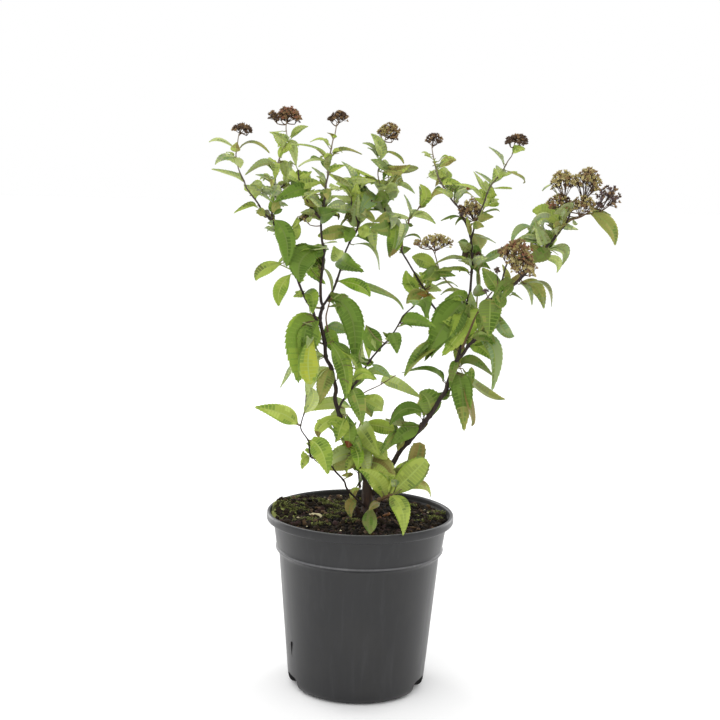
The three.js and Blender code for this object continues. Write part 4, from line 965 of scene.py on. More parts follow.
def fill_leaf(start, direction, limb_r, rng, need=0.93, scale=1.0, stem_len=None):
    d2 = ((follow_mid - start) ** 2).sum(1)
    near = int(np.argmin(d2))
    _, fl, fw, tint, _m = followed[near]
    tint = rng.choice(NEIGHBOURS.get(tint, (tint,)))
    length = min(34.0, max(12.0, fl * rng.uniform(0.7, 1.05))) * scale
    width = length / rng.uniform(2.0, 2.7)
    T0 = unit(direction)
    base = start + T0 * (limb_r + (stem_len or rng.uniform(1.5, 3.5)))
    droop = rng.uniform(0.05, 0.8)
    tip = base + T0 * length + Z * (-droop * length * 0.5)
    mid = base + T0 * (length * 0.5) + Z * (0.05 * length)
    T = unit(tip - base)
    S = np.cross(T, Z)
    S = unit(S) if np.linalg.norm(S) > 0.15 else unit(np.cross(T, np.array((0.3, 1.0, 0.0))))
    a = rng.gauss(0.0, 0.65)
    S = unit(S * math.cos(a) + np.cross(S, T) * math.sin(a))
    pts = blade_points(base, mid, tip, S, width, 9, 5)
    if behind(pts) < need:
        return False
    if not (in_mass(mid, 3.0) and in_mass(tip, 6.0)):
        return False
    if fill_mids and float(((np.array(fill_mids) - mid) ** 2).sum(1).min()) < 30.0:
        return False
    fill_mids.append(mid)
    leaf(bags[region(mid)], base, mid, tip, S, width, tint, rng.randrange(1 << 30), fold=rng.uniform(0.12, 0.35),
         twist=rng.uniform(-0.3, 0.3), curl=rng.uniform(-0.05, 0.12), teeth=int(max(4, min(7, length / 4))))
    tube(twigs, [start, base, base + (mid - base) * 0.15], (0.45, 0.34), 5, stalk_tone(base[2], rng), step=2.0)
    return True


limb_radius = {n: v[1] for n, v in LIMBS.items()}
limb_radius.update({n: v[1] for n, v in TWIGS.items()})
for li, (n, (arr, dist, pp)) in enumerate(limb_lines.items()):
    rng = random.Random(900 + li)
    total = float(dist[-1])
    along, turn = 8.0, rng.uniform(0, 6.28)
    r0, r1 = limb_radius[n][0], limb_radius[n][-1]
    while along < total - 1:
        k = int(np.searchsorted(dist, along))
        k = min(max(k, 1), len(arr) - 2)
        P, T = arr[k], unit(arr[k + 1] - arr[k - 1])
        side = unit(np.cross(T, np.array((0.2, 0.3, 1.0)) if abs(T[2]) < 0.9 else np.array((1.0, 0.2, 0.0))))
        other = np.cross(T, side)
        hits = 0
        for attempt in range(26):
            a = turn + attempt * 2.4 + rng.uniform(-0.4, 0.4)
            radial = side * math.cos(a) + other * math.sin(a)
            open_angle = rng.uniform(0.75, 1.25)
            if fill_leaf(P, T * math.cos(open_angle) + radial * math.sin(open_angle), r0 + (r1 - r0) * along / total, rng, scale=1.0 if attempt < 14 else 0.72):
                hits += 1
                if hits >= 3:
                    break
        turn += 2.4
        along += rng.uniform(4.0, 7.0)
on_limbs = len(fill_mids)

# Short twigs reach into the parts of each mass that the limbs don't, and carry leaves of their own.
for mi, n in enumerate(mass_names):
    rng = random.Random(7000 + mi)
    lo, hi = (np.array(c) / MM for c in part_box(n))
    tries = int(12 + np.prod(hi - lo) / 900.0)
    for _ in range(min(tries, 90)):
        p = np.array([rng.uniform(lo[i], hi[i]) for i in range(3)])
        if not in_mass(p, 0.0):
            continue
        gap, limb, at, along = nearest_in_space(p)
        if gap < 7 or gap > 40:
            continue
        arr, dist, pp = limb_lines[limb]
        start_at = max(3.0, along - 0.5 * gap)
        k = min(max(int(np.searchsorted(dist, start_at)), 1), len(arr) - 2)
        start, T = arr[k], unit(arr[k + 1] - arr[k - 1])
        path = [start, start + T * gap * 0.25 + (p - start) * 0.4, p]
        line = np.array(smooth_path(path, 2.0))
        if behind(line) < 0.85:
            continue
        if fill_mids and float(((np.array(fill_mids) - p) ** 2).sum(1).min()) < 20.0:
            continue
        before = len(fill_mids)
        away = unit(p - line[-3])
        got = fill_leaf(p, away, 0.3, rng, need=0.92, stem_len=0.6)
        reach, turn = 5.0, rng.uniform(0, 6.28)
        lengths = np.concatenate([[0], np.cumsum(np.linalg.norm(np.diff(line, axis=0), axis=1))])
        while reach < lengths[-1]:
            kk = min(max(int(np.searchsorted(lengths, reach)), 1), len(line) - 2)
            P2, T2 = line[kk], unit(line[kk + 1] - line[kk - 1])
            side = unit(np.cross(T2, Z if abs(T2[2]) < 0.9 else np.array((1.0, 0.0, 0.0))))
            other = np.cross(T2, side)
            for attempt in range(12):
                a = turn + attempt * 2.4
                if fill_leaf(P2, T2 * 0.5 + (side * math.cos(a) + other * math.sin(a)) * 0.87, 0.35, rng, need=0.92, scale=0.9):
                    break
            turn += 2.4
            reach += rng.uniform(4.0, 6.0)
        if len(fill_mids) > before:
            tube(twigs, path, (0.65, 0.32), 6, stalk_tone(start[2], rng), step=2.0)
print("leaves shown", len(SHOWN), "on limbs", on_limbs, "on short twigs", len(fill_mids) - on_limbs)

# ------------------------------------------------------------------ the limbs themselves
for i, (n, (pts, radii)) in enumerate(LIMBS.items()):
    b = Bag()
    tube(b, limb_points[n], radii, 14, 0, relief=0.13, knobs=knobs[n], step=0.9, seed=3.1 * i)
    ob = b.build(n + "_bark", [BARK])
    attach(ob, "root")
    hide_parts(n)
for i, (n, (pts, radii, tone)) in enumerate(TWIGS.items()):
    tube(twigs, limb_points[n], radii, 10, tone, relief=0.1, knobs=knobs[n], step=1.0, seed=40 + 2.3 * i)


# ------------------------------------------------------------------ seed heads
def follicles(bag, at, axis, size, tone, rng):
    """Five small pods that stand together like a star, each a pointed body."""
    axis = unit(axis)
    side = unit(np.cross(axis, np.array((0.31, 0.2, 0.93)) if abs(axis[2]) < 0.9 else np.array((1.0, 0.1, 0.0))))
    other = np.cross(axis, side)
    turn = rng.uniform(0, 6.28)
    for k in range(5):
        a = turn + k * 1.2566
        out = side * math.cos(a) + other * math.sin(a)
        d = unit(axis + out * rng.uniform(0.35, 0.75))
        L = size * rng.uniform(0.85, 1.15)
        R = size * 0.27
        s2 = unit(np.cross(d, axis + out * 0.01 + side * 0.01))
        o2 = np.cross(d, s2)
        root = at + out * size * 0.12
        verts, faces = [root], []
        for f, rr in ((0.3, 0.85), (0.62, 1.0), (0.86, 0.5)):
            for j in range(5):
                b = 2 * math.pi * j / 5
                verts.append(root + d * (L * f) + s2 * (math.cos(b) * R * rr) + o2 * (math.sin(b) * R * rr))
        verts.append(root + d * L * 1.15 + out * size * 0.12)
        for j in range(5):
            j2 = (j + 1) % 5
            faces.append((0, 1 + j2, 1 + j))
            faces.append((1 + j, 1 + j2, 6 + j2, 6 + j))
            faces.append((6 + j, 6 + j2, 11 + j2, 11 + j))
            faces.append((16, 11 + j, 11 + j2))
        bag.add(verts, faces, tone)


# centre pixel, depth, half width (px), half height (px), half depth (mm), lean (degrees), number, tones
HEADS = {
    "seed_head_1": ("stem_outer_left_front", [(241.5, 127, -62, 9.5, 4, 8, 0, 30, (F_DARK, F_DARK, F_BROWN)), (249.5, 130, -62, 3, 4, 5, -50, 8, (F_DARK,))]),
    "seed_head_2": ("stem_outer_left_back", [
        (288.5, 112.5, 48, 11.5, 6.5, 12, 2, 66, (F_RED, F_BROWN, F_DARK, F_RED, F_BROWN)), (274, 115, 48, 6, 4.5, 8, -22, 22, (F_DARK, F_BROWN)),
        (298, 118, 50, 4, 3.5, 6, -30, 12, (F_DARK, F_BROWN)), (281, 115.5, 48, 4, 4, 8, 0, 12, (F_DARK, F_BROWN))]),
    "seed_head_3": ("stem_left_upper", [(340, 115, -50, 8.5, 4.4, 8, 0, 32, (F_DARK, F_DARK, F_BROWN)), (331.5, 118, -50, 3, 3, 5, -20, 8, (F_DARK,))]),
    "seed_head_4": ("stem_centre_back", [(390, 128.5, 115, 10, 6.5, 10, 2, 64, (F_OLIVE, F_BROWN, F_BROWN, F_OLIVE)), (381, 131.5, 113, 4, 3.5, 5, 0, 12, (F_DARK, F_OLIVE)), (394.5, 136.5, 112, 4, 3.5, 5, 0, 12, (F_DARK, F_BROWN))]),
    "seed_head_5": ("stem_right_upper", [(434, 138, 82, 9, 5.4, 9, 2, 34, (F_DARK, F_DARK, F_BROWN))]),
    "seed_head_6": ("stem_right_front", [(509.5, 140, -58, 4.5, 4, 7, 14, 14, (F_DARK,)), (521.5, 139, -58, 7, 5, 8, -8, 24, (F_DARK, F_DARK, F_BROWN)), (515.5, 136.5, -58, 4.5, 3.2, 8, 0, 11, (F_DARK, F_BROWN))]),
    "seed_head_outer": ("stem_right_outer", [
        (563, 178.5, -80, 13, 8.5, 14, 8, 62, (F_OLIVE, F_BROWN, F_OLIVE, F_STRAW, F_DARK)), (589.5, 178, -78, 15, 10.5, 15, -20, 84, (F_OLIVE, F_BROWN, F_OLIVE, F_STRAW, F_BROWN)),
        (611, 194, -78, 12, 9.5, 12, -24, 40, (F_DARK, F_PURPLE, F_PURPLE, F_BROWN)), (559, 201.5, -77, 13, 8, 13, 6, 52, (F_BROWN, F_OLIVE, F_OLIVE, F_RED, F_DARK)),
        (584, 203, -77, 13, 8.5, 13, -4, 50, (F_OLIVE, F_STRAW, F_BROWN, F_OLIVE))]),
    "seed_head_front": ("stalk_front", [
        (518, 248, -104, 16, 9, 16, -4, 96, (F_RED, F_BROWN, F_OLIVE, F_OLIVE, F_BROWN)), (503, 251, -98, 5, 5.5, 9, 20, 18, (F_DARK, F_BROWN)),
        (525, 264, -102, 14, 9.5, 14, -12, 80, (F_BROWN, F_OLIVE, F_BROWN, F_OLIVE, F_STRAW)), (513, 259, -102, 7, 6, 10, 0, 20, (F_OLIVE, F_STRAW, F_BROWN))]),
    "seed_head_middle": ("twig_middle_head", [(436, 240, 34, 18, 7, 14, 4, 64, (F_OLIVE, F_BROWN, F_OLIVE, F_STRAW)), (417, 242, 34, 4, 2.4, 6, 8, 8, (F_BROWN, F_OLIVE))]),
}
# Heads past bloom that have no solid of their own, and the small dry clusters along the shoots.
EXTRA_HEADS = [
    ("twig_star", [(473, 206, 40, 11, 10, 13, -10, 62, (F_OLIVE, F_BROWN, F_OLIVE, F_STRAW, F_BROWN)), (463, 211, 42, 5, 7, 8, 40, 22, (F_DARK, F_PURPLE, F_BROWN))]),
    ("stem_right_upper", [(465.5, 254, 30, 2.6, 2.6, 3, 0, 5, (F_DARK,)), (478, 253.5, 30, 2.6, 2.6, 3, 0, 5, (F_DARK,))]),
    ("stem_right_outer", [(497, 270, -40, 2.4, 2.4, 3, 0, 4, (F_DARK,)), (486, 290, -34, 3, 2, 3, 0, 4, (F_PURPLE,))]),
    ("stem_left_upper", [(306, 217, -31, 4.5, 4, 5, -10, 10, (F_OLIVE, F_DARK))]),
    ("twig_head_right", [(599, 205, -78, 5, 3, 6, -30, 9, (F_DARK, F_PURPLE))]),
]


def seed_head(bag, limb, lobes, seed):
    rng = random.Random(seed)
    arr, dist, pp = limb_lines[limb]
    for li, (cx, cy, depth, hw, hh, hd, lean, count, tones) in enumerate(lobes):
        k = (depth - EYE[1]) / FOCAL
        C = place(cx, cy, depth)
        a, h = hw * k, hh * k
        cl, sl = math.cos(math.radians(lean)), math.sin(math.radians(lean))
        ends = []
        count = int(count * 2.0)
        for i in range(count):
            r = math.sqrt((i + 0.5) / count)
            t = i * 2.39996 + rng.uniform(-0.25, 0.25)
            u, v = r * math.cos(t), r * math.sin(t)
            x, y = a * u * 0.94, hd * v
            z = h * (0.95 - 1.05 * r * r) - rng.random() ** 1.35 * 1.15 * h
            ends.append((C + np.array((x * cl - z * sl, y, x * sl + z * cl)), np.array((0.75 * u, 0.75 * v, 1.05 - 0.6 * r))))
        # where this part's main stalk leaves the limb
        low = C + Z * (-h * 1.3)
        d2 = ((arr - low) ** 2).sum(1)
        kk = int(np.argmin(d2))
        start = arr[max(0, kk - 2)]
        knot = start + (low - start) * 0.72 + Z * (-0.12 * float(np.linalg.norm(low - start)))
        reach = float(np.linalg.norm(knot - start))
        if reach > 1.5:
            tube(bag, [start, (start + knot) * 0.5 + Z * (-0.06 * reach), knot], (0.62, 0.48), 7, len(FRUIT_MATS) + T_BROWN, relief=0.1, step=1.5)
        groups = max(2, int(round(count / 9.0)))
        seeds_at = [ends[int((g + 0.5) * count / groups)][0] for g in range(groups)]
        sets = [[] for _ in range(groups)]
        for e in ends:
            g = min(range(groups), key=lambda q: float(((seeds_at[q] - e[0]) ** 2).sum()))
            sets[g].append(e)
        for members in sets:
            if not members:
                continue
            m = sum((e[0] for e in members), np.zeros(3)) / len(members)
            hub = m + (knot - m) * 0.32 - Z * 0.8
            tube(bag, [knot, (knot + hub) * 0.5 + (m - knot) * 0.05 - Z * 0.3, hub], (0.42, 0.32), 5, len(FRUIT_MATS) + rng.choice((T_BROWN, T_DARK)), step=2.0)
            for p, ax in members:
                root = p - unit(ax + (p - hub) * 0.3) * 0.9
                tube(bag, [hub, (hub + root) * 0.5 - Z * 0.15, root + unit(ax) * 0.25], (0.24, 0.2), 4, len(FRUIT_MATS) + rng.choice((T_BROWN, T_DARK)), step=3.0)
                follicles(bag, root, ax, rng.uniform(1.7, 2.4), rng.choice(tones), rng)


for i, (n, (limb, lobes)) in enumerate(HEADS.items()):
    b = Bag()
    seed_head(b, limb, lobes, 300 + i)
    ob = b.build(n + "_follicles", FRUIT_MATS + TWIG_MATS)
    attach(ob, "root")
    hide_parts(n)
b = Bag()
for i, (limb, lobes) in enumerate(EXTRA_HEADS):
    seed_head(b, limb, lobes, 400 + i)
ob = b.build("small_seed_clusters", FRUIT_MATS + TWIG_MATS)
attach(ob, "root")

# ------------------------------------------------------------------ foliage and twigs become pieces
replaced = {r: [] for r in REGIONS}
for n in mass_names:
    lo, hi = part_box(n)
    replaced[region((np.array(lo) + np.array(hi)) * 0.5 / MM)].append(n)
for r in REGIONS:
    ob = bags[r].build("foliage_" + r, leaf_mats)
    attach(ob, "root")
    if replaced[r]:
        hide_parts(*replaced[r])
    print("foliage", r, bags[r].triangles(), "triangles, for", len(replaced[r]), "masses")
ob = twigs.build("twigs", TWIG_MATS)
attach(ob, "root")
print("twigs", twigs.triangles(), "triangles")


# ------------------------------------------------------------------ stump
def stump_mesh():
    rng = random.Random(77)
    rows, cols = 46, 56
    foot, top = np.array((9.0, -3.0, 168.5)), np.array((5.0, 0.0, 210.0))
    verts, faces = [], []
    for i in range(rows):
        f = i / (rows - 1)
        c = foot + (top - foot) * f + np.array((1.2 * math.sin(3.1 * f), 0.8 * math.sin(4 * f), 0.0))
        r = 8.6 - 4.4 * f + 4.2 * math.exp(-f * 9.0)
        for j in range(cols):
            a = 2 * math.pi * j / cols
            ca, sa = math.cos(a), math.sin(a)
            v = Vector((ca * 1.6, sa * 1.6, f * 3.2))
            bulge = 0.2 * noise.noise(v * 1.1) + 0.12 * noise.noise(v * 3.1 + Vector((4, 2, 1))) + 0.05 * noise.noise(Vector((ca * 9, sa * 9, f * 7)))
            roots = 0.2 * math.exp(-f * 7) * max(0.0, math.cos(3 * a + 0.9 + 0.5 * math.sin(a)))
            rr = r * (1 + bulge + roots)
            verts.append(c + np.array((ca * rr, sa * rr * 0.9, 0.0)))
    for i in range(rows - 1):
        for j in range(cols):
            j2 = (j + 1) % cols
            faces.append((i * cols + j, i * cols + j2, (i + 1) * cols + j2, (i + 1) * cols + j))
    a, b = len(verts), len(verts) + 1
    verts += [foot - Z * 1.5, top + Z * 1.6]
    for j in range(cols):
        j2 = (j + 1) % cols
        faces.append((a, j2, j))
        faces.append((b, (rows - 1) * cols + j, (rows - 1) * cols + j2))
    return verts, faces


b = Bag()
b.add(*stump_mesh(), 0)
# old stubs and a torn, paler collar round the foot
for pts, radii, mat in (
        ([(12, -6, 176), (15, -9, 186), (17, -11, 195)], (3.2, 2.0), 0), ([(2, -7, 174), (-2, -10, 181), (-4, -11, 187)], (2.6, 1.6), 0),
        ([(9, 4, 176), (12, 10, 186), (13, 13, 192)], (2.8, 1.5), 0), ([(19, -4, 172), (25, -6, 177), (30, -8, 180)], (2.4, 1.2), 1),
        ([(10, -11, 171), (16, -14, 174), (21, -14, 178)], (2.6, 1.3), 1), ([(4, -11, 171), (9, -14, 173), (14, -15, 173)], (2.4, 1.6), 1),
        ([(-1, -6, 171), (-7, -9, 174), (-12, -9, 173)], (2.2, 1.0), 0), ([(6, 7, 171), (2, 13, 173), (-4, 17, 172)], (2.4, 1.0), 0),
        ([(16, 3, 171), (22, 8, 173), (27, 11, 172)], (2.4, 1.0), 0)):
    tube(b, [np.array(p, float) for p in pts], radii, 12, mat, relief=0.3, step=1.0, seed=radii[0] * 7, blunt=True)
BARK_TORN = bark_material("bark_torn", (146, 98, 58), (150, 112, 70), 150, 400, (176, 130, 84))
ob = b.build("stump_bark", [BARK_OLD, BARK_TORN])
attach(ob, "root")
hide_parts("stump")

# ------------------------------------------------------------------ pot
POT_SIDE = [
    (0.0, 0.0), (30.0, 0.0), (60.0, 0.0), (62.6, 0.15), (65.4, 1.0), (67.6, 2.7), (69.1, 5.0), (70.0, 7.6), (70.5, 11.0), (71.3, 20.0),
    (73.1, 40.0), (74.9, 60.0), (76.7, 80.0), (78.5, 100.0), (80.2, 119.0), (81.3, 132.0), (81.75, 137.0), (82.1, 138.4), (83.2, 139.9), (84.2, 140.9),
    (84.9, 141.5), (85.45, 142.3), (85.6, 143.2), (85.4, 144.1), (84.9, 144.7), (84.75, 145.4), (85.1, 148.0), (86.0, 154.5), (87.0, 161.0), (87.9, 167.2), (88.3, 169.3),
    (88.9, 170.5), (90.2, 171.1), (92.6, 171.2), (93.9, 171.4), (94.7, 172.0), (95.1, 172.9), (95.2, 174.4), (95.15, 177.2), (94.9, 178.7), (94.3, 179.6), (93.4, 180.0),
    (92.5, 179.9), (91.8, 179.4), (91.3, 178.6), (91.0, 177.4), (90.9, 175.0), (88.3, 171.6), (86.3, 168.2), (84.9, 161.0), (83.9, 154.5), (83.0, 147.5), (82.7, 144.0), (79.8, 137.0),
    (78.3, 119.0), (76.5, 100.0), (73.0, 60.0), (69.4, 20.0), (68.3, 9.0), (66.5, 4.4), (63.0, 2.7), (30.0, 2.6), (0.0, 2.6)]


def lathe(name, profile, segments):
    verts, faces = [], []
    rings = []
    for r, z in profile:
        if r < 1e-6:
            rings.append([len(verts)])
            verts.append((0, 0, z * MM))
        else:
            rings.append(list(range(len(verts), len(verts) + segments)))
            for k in range(segments):
                a = 2 * math.pi * k / segments
                verts.append((r * math.cos(a) * MM, r * math.sin(a) * MM, z * MM))
    for a, b in zip(rings, rings[1:]):
        for k in range(segments):
            k2 = (k + 1) % segments
            if len(a) == 1:
                faces.append((a[0], b[k2], b[k]))
            elif len(b) == 1:
                faces.append((a[k], a[k2], b[0]))
            else:
                faces.append((a[k], a[k2], b[k2], b[k]))
    me = bpy.data.meshes.new(name)
    me.from_pydata(verts, [], faces)
    me.update()
    ob = bpy.data.objects.new(name, me)
    bpy.context.scene.collection.objects.link(ob)
    return ob


def prism(name, outline, near, far, angle):
    """A solid whose outline (across, up) runs from radius near to radius far, in the direction of angle."""
    a = math.radians(angle)
    out, side = Vector((math.cos(a), math.sin(a), 0)), Vector((-math.sin(a), math.cos(a), 0))
    n = len(outline)
    verts = [(out * r + side * u + Vector((0, 0, w))) * MM for r in (near, far) for u, w in outline]
    faces = [tuple(reversed(range(n))), tuple(range(n, 2 * n))]
    for i in range(n):
        j = (i + 1) % n
        faces.append((i, j, n + j, n + i))
    me = bpy.data.meshes.new(name)
    me.from_pydata(verts, [], faces)
    me.update()
    ob = bpy.data.objects.new(name, me)
    bpy.context.scene.collection.objects.link(ob)
    return ob


pot = lathe("pot_shell", POT_SIDE, 208)
notch = [(-14.0, -2.0), (14.0, -2.0), (13.8, 7.5)] + [(13.8 - 6.0 * (1 - math.cos(t)), 7.5 + 6.0 * math.sin(t)) for t in (0.26, 0.52, 0.79, 1.05, 1.31, 1.57)]
notch += [(-x, z) for x, z in reversed(notch[2:])]
slot = []
for i in range(17):
    t = math.pi * i / 16
    slot.append((3.5 * math.cos(t), 48.5 + 3.5 * math.sin(t)))
for i in range(17):
    t = math.pi + math.pi * i / 16
    slot.append((3.5 * math.cos(t), 38.5 + 3.5 * math.sin(t)))
# each notch is a pocket: its lining is joined on inside the wall before the pocket is cut
core = [(0.0, 0.05), (62.2, 0.05), (65.0, 1.3), (67.2, 3.0), (68.7, 5.2), (69.6, 7.8), (70.1, 11.0), (70.8, 19.0), (0.0, 19.0)]
lining = [(-16.0, -2.0), (16.0, -2.0), (15.8, 9.5), (10.6, 16.2), (-10.6, 16.2), (-15.8, 9.5)]
for a in (-158, -22, 90):
    plug, shape = lathe("plug", core, 208), prism("lining", lining, 55.0, 90.0, a)
    for target, operation, other in ((plug, "INTERSECT", shape), (pot, "UNION", plug)):
        mod = target.modifiers.new("join", "BOOLEAN")
        mod.operation, mod.solver, mod.object = operation, "MANIFOLD", other
        whole = bpy.data.meshes.new_from_object(target.evaluated_get(bpy.context.evaluated_depsgraph_get()))
        target.modifiers.clear()
        target.data = whole
    bpy.data.objects.remove(plug, do_unlink=True)
    bpy.data.objects.remove(shape, do_unlink=True)
cutters = [prism("cut", notch, 57.0, 90.0, a) for a in (-158, -22, 90)] + [prism("cut", slot, 72.6, 90.0, -151)]
for c in cutters:
    mod = pot.modifiers.new("cut", "BOOLEAN")
    mod.operation, mod.solver, mod.object = "DIFFERENCE", "MANIFOLD", c
dg = bpy.context.evaluated_depsgraph_get()
done = bpy.data.meshes.new_from_object(pot.evaluated_get(dg))
pot.modifiers.clear()
pot.data = done
for c in cutters:
    bpy.data.objects.remove(c, do_unlink=True)
# points that the cuts leave closer than a few micrometres are joined
bm = bmesh.new()
bm.from_mesh(done)
bmesh.ops.remove_doubles(bm, verts=bm.verts, dist=4e-6)
bmesh.ops.dissolve_degenerate(bm, edges=bm.edges, dist=2e-6)
bm.to_mesh(done)
bm.free()
done.name = "pot_shell"
done.shade_smooth()
done.set_sharp_from_angle(angle=math.radians(32))

def plastic(name, dark, plain, worn, dust_rgb, rough):
    m, nt, bsdf = new_material(name)
    fine = add_noise(nt, 1500.0, 3.0)
    scuff = add_noise(nt, 95.0, 6.0, 0.65, (1.0, 1.0, 0.12), 0.4)
    dust = add_noise(nt, 22.0, 5.0, 0.6)
    col = ramp(nt, scuff.outputs["Fac"], [(0.25, lin(dark)), (0.55, lin(plain)), (0.74, lin(worn))])
    dm = map_range(nt, dust.outputs["Fac"], 0.0, 0.3, 0.45, 0.8)
    nt.links.new(mix_rgb(nt, dm.outputs["Result"], col.outputs["Color"], lin(dust_rgb)), bsdf.inputs["Base Color"])
    r = map_range(nt, scuff.outputs["Fac"], rough[0], rough[1])
    nt.links.new(r.outputs["Result"], bsdf.inputs["Roughness"])
    bsdf.inputs["Specular IOR Level"].default_value = 0.5
    bump(nt, bsdf, fine.outputs["Fac"], 0.12, 0.0002)
    return m


done.materials.clear()
done.materials.append(plastic("pot_plastic", (19, 19, 20), (25, 25, 27), (38, 38, 40), (48, 46, 44), (0.28, 0.42)))
# the bead and the lip's top are a lighter grey: a painted highlight where they catch the light from above, with some
# wear
done.materials.append(plastic("pot_edge_highlight_and_wear", (60, 60, 62), (84, 84, 86), (104, 104, 104), (96, 94, 90), (0.4, 0.55)))
done.materials.append(plastic("pot_inside", (16, 14, 13), (22, 19, 17), (34, 29, 26), (44, 36, 30), (0.6, 0.8)))
for face in done.polygons:
    x, y, z = face.center / MM
    r = math.hypot(x, y)
    # faces of the bead and the lip's top take the lighter grey of the painted highlight and wear
    if (142.1 < z < 144.2 and r > 84.9) or (179.2 < z < 179.8 and r > 93.5):
        face.material_index = 1
    elif 20 < z < 179.0 and r < 91.2 and face.normal.x * x + face.normal.y * y < 0:
        face.material_index = 2
    else:
        face.material_index = 0
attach(pot, "root")
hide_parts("pot")

# ------------------------------------------------------------------ soil
SOIL_MATS = [
    plain_material("peat", (42, 34, 24), (0.75, 0.95), 0.12, 700.0, 0.0008, 0.9),
    plain_material("peat_dark", (21, 17, 13), (0.7, 0.95), 0.12, 700.0, 0.0008, 0.9),
    plain_material("peat_purple", (58, 42, 40), (0.7, 0.95), 0.12, 700.0, 0.0008, 0.9),
    plain_material("bark_chip", (84, 66, 46), (0.65, 0.9), 0.15, 500.0, 0.0006, 0.8),
    plain_material("bark_chip_pale", (198, 188, 150), (0.65, 0.9), 0.2, 500.0, 0.0005, 0.6),
    plain_material("moss", (136, 142, 82), (0.7, 0.95), 0.15, 900.0, 0.0006, 0.7),
    plain_material("moss_dark", (74, 78, 38), (0.7, 0.95), 0.15, 900.0, 0.0006, 0.7),
    plain_material("root_fibre", (112, 88, 60), (0.7, 0.95), 0.15, 500.0, 0.0003, 0.4),
]
G_PEAT, G_DARK, G_PURPLE, G_CHIP, G_PALE, G_MOSS, G_MOSS2, G_ROOT = range(8)


def soil_height(x, y):
    h = 174.0 + 1.7 * noise.noise(Vector((x * 0.045, y * 0.045, 1.7))) + 1.0 * noise.noise(Vector((x * 0.13, y * 0.13, 5.0)))
    h += 6.6 * math.exp(-(((x + 58) ** 2 + (y - 38) ** 2) / 24.0 ** 2))
    h += 3.0 * math.exp(-(((x - 9) ** 2 + (y + 3) ** 2) / 20.0 ** 2))
    h += 9.2 * math.exp(-(((x + 84) ** 2 + (y - 14) ** 2) / 23.0 ** 2))
    edge = math.hypot(x, y)
    return h - 0.9 * max(0.0, (edge - 80) / 8.0)


def soil_mesh(bag):
    rings, cols = 64, 150
    verts, faces, mats = [], [], []
    verts.append((0, 0, soil_height(0, 0)))
    for i in range(1, rings + 1):
        for j in range(cols):
            a = 2 * math.pi * j / cols
            # the soil reaches the pot's wall, which is wider where the soil lies higher
            top = soil_height(88 * math.cos(a), 88 * math.sin(a))
            r = min(90.5, max(87.6, 87.9 + (top - 171.6) * 0.76)) * i / rings
            x, y = r * math.cos(a), r * math.sin(a)
            z = soil_height(x, y)
            if i < rings:
                z += 0.7 * noise.noise(Vector((x * 0.5, y * 0.5, 0.3))) + 0.45 * noise.noise(Vector((x * 1.1, y * 1.1, 3.3)))
            verts.append((x, y, z))
    for r, z in ((85.2, 165.5), (82.0, 145.0), (78.9, 136.0), (72.6, 66.0), (69.2, 28.0), (67.6, 17.0), (54.0, 14.6)):
        for j in range(cols):
            a = 2 * math.pi * j / cols
            verts.append((r * math.cos(a), r * math.sin(a), z))
    verts.append((0, 0, 14.6))

    def tone(x, y):
        v = noise.noise(Vector((x * 0.07, y * 0.07, 9.0)))
        g = noise.noise(Vector((x * 0.05, y * 0.05, 20.0))) + 0.35 * noise.noise(Vector((x * 0.3, y * 0.3, 2.0)))
        near_moss = 1.0 * math.exp(-(((x + 78) / 22.0) ** 2 + ((y - 14) / 34.0) ** 2)) + 0.35 * math.exp(-(((x - 76) / 18.0) ** 2 + ((y + 12) / 24.0) ** 2))
        if g + near_moss > 0.62:
            return G_MOSS
        if g + near_moss > 0.4:
            return G_MOSS2
        return G_PURPLE if v > 0.22 else G_DARK if v < 0.1 else G_PEAT

    def idx(i, j):
        return 0 if i == 0 else 1 + (i - 1) * cols + j % cols
    total = rings + 7
    for j in range(cols):
        faces.append((0, idx(1, j), idx(1, j + 1)))
        mats.append(G_PEAT)
    for i in range(1, total):
        for j in range(cols):
            f = (idx(i, j), idx(i + 1, j), idx(i + 1, j + 1), idx(i, j + 1))
            faces.append(f)
            mats.append(tone(*verts[f[0]][:2]) if i < rings else G_DARK)
    last = len(verts) - 1
    for j in range(cols):
        faces.append((idx(total, j), last, idx(total, j + 1)))
        mats.append(G_DARK)
    bag.add(verts, faces, mats)


b = Bag()
soil_mesh(b)
ob = b.build("soil", SOIL_MATS)
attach(ob, "root")
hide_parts("root_ball")


def lump(bag, at, size, mat, rng, flat=1.0, stretch=1.0):
    """A small crumb with twenty uneven faces."""
    g = (1 + 5 ** 0.5) / 2
    raw = [(-1, g, 0), (1, g, 0), (-1, -g, 0), (1, -g, 0), (0, -1, g), (0, 1, g), (0, -1, -g), (0, 1, -g), (g, 0, -1), (g, 0, 1), (-g, 0, -1), (-g, 0, 1)]
    tri = [(0, 11, 5), (0, 5, 1), (0, 1, 7), (0, 7, 10), (0, 10, 11), (1, 5, 9), (5, 11, 4), (11, 10, 2), (10, 7, 6), (7, 1, 8),
           (3, 9, 4), (3, 4, 2), (3, 2, 6), (3, 6, 8), (3, 8, 9), (4, 9, 5), (2, 4, 11), (6, 2, 10), (8, 6, 7), (9, 8, 1)]
    t, lean = rng.uniform(0, 6.28), rng.uniform(-0.35, 0.35)
    c, s = math.cos(t), math.sin(t)
    verts = []
    for x, y, z in raw:
        q = size / 1.9 * rng.uniform(0.75, 1.2)
        x, y, z = x * q * stretch, y * q, z * q * flat
        z += x * lean
        verts.append((at[0] + c * x - s * y, at[1] + s * x + c * y, at[2] + z))
    bag.add(verts, tri, mat)


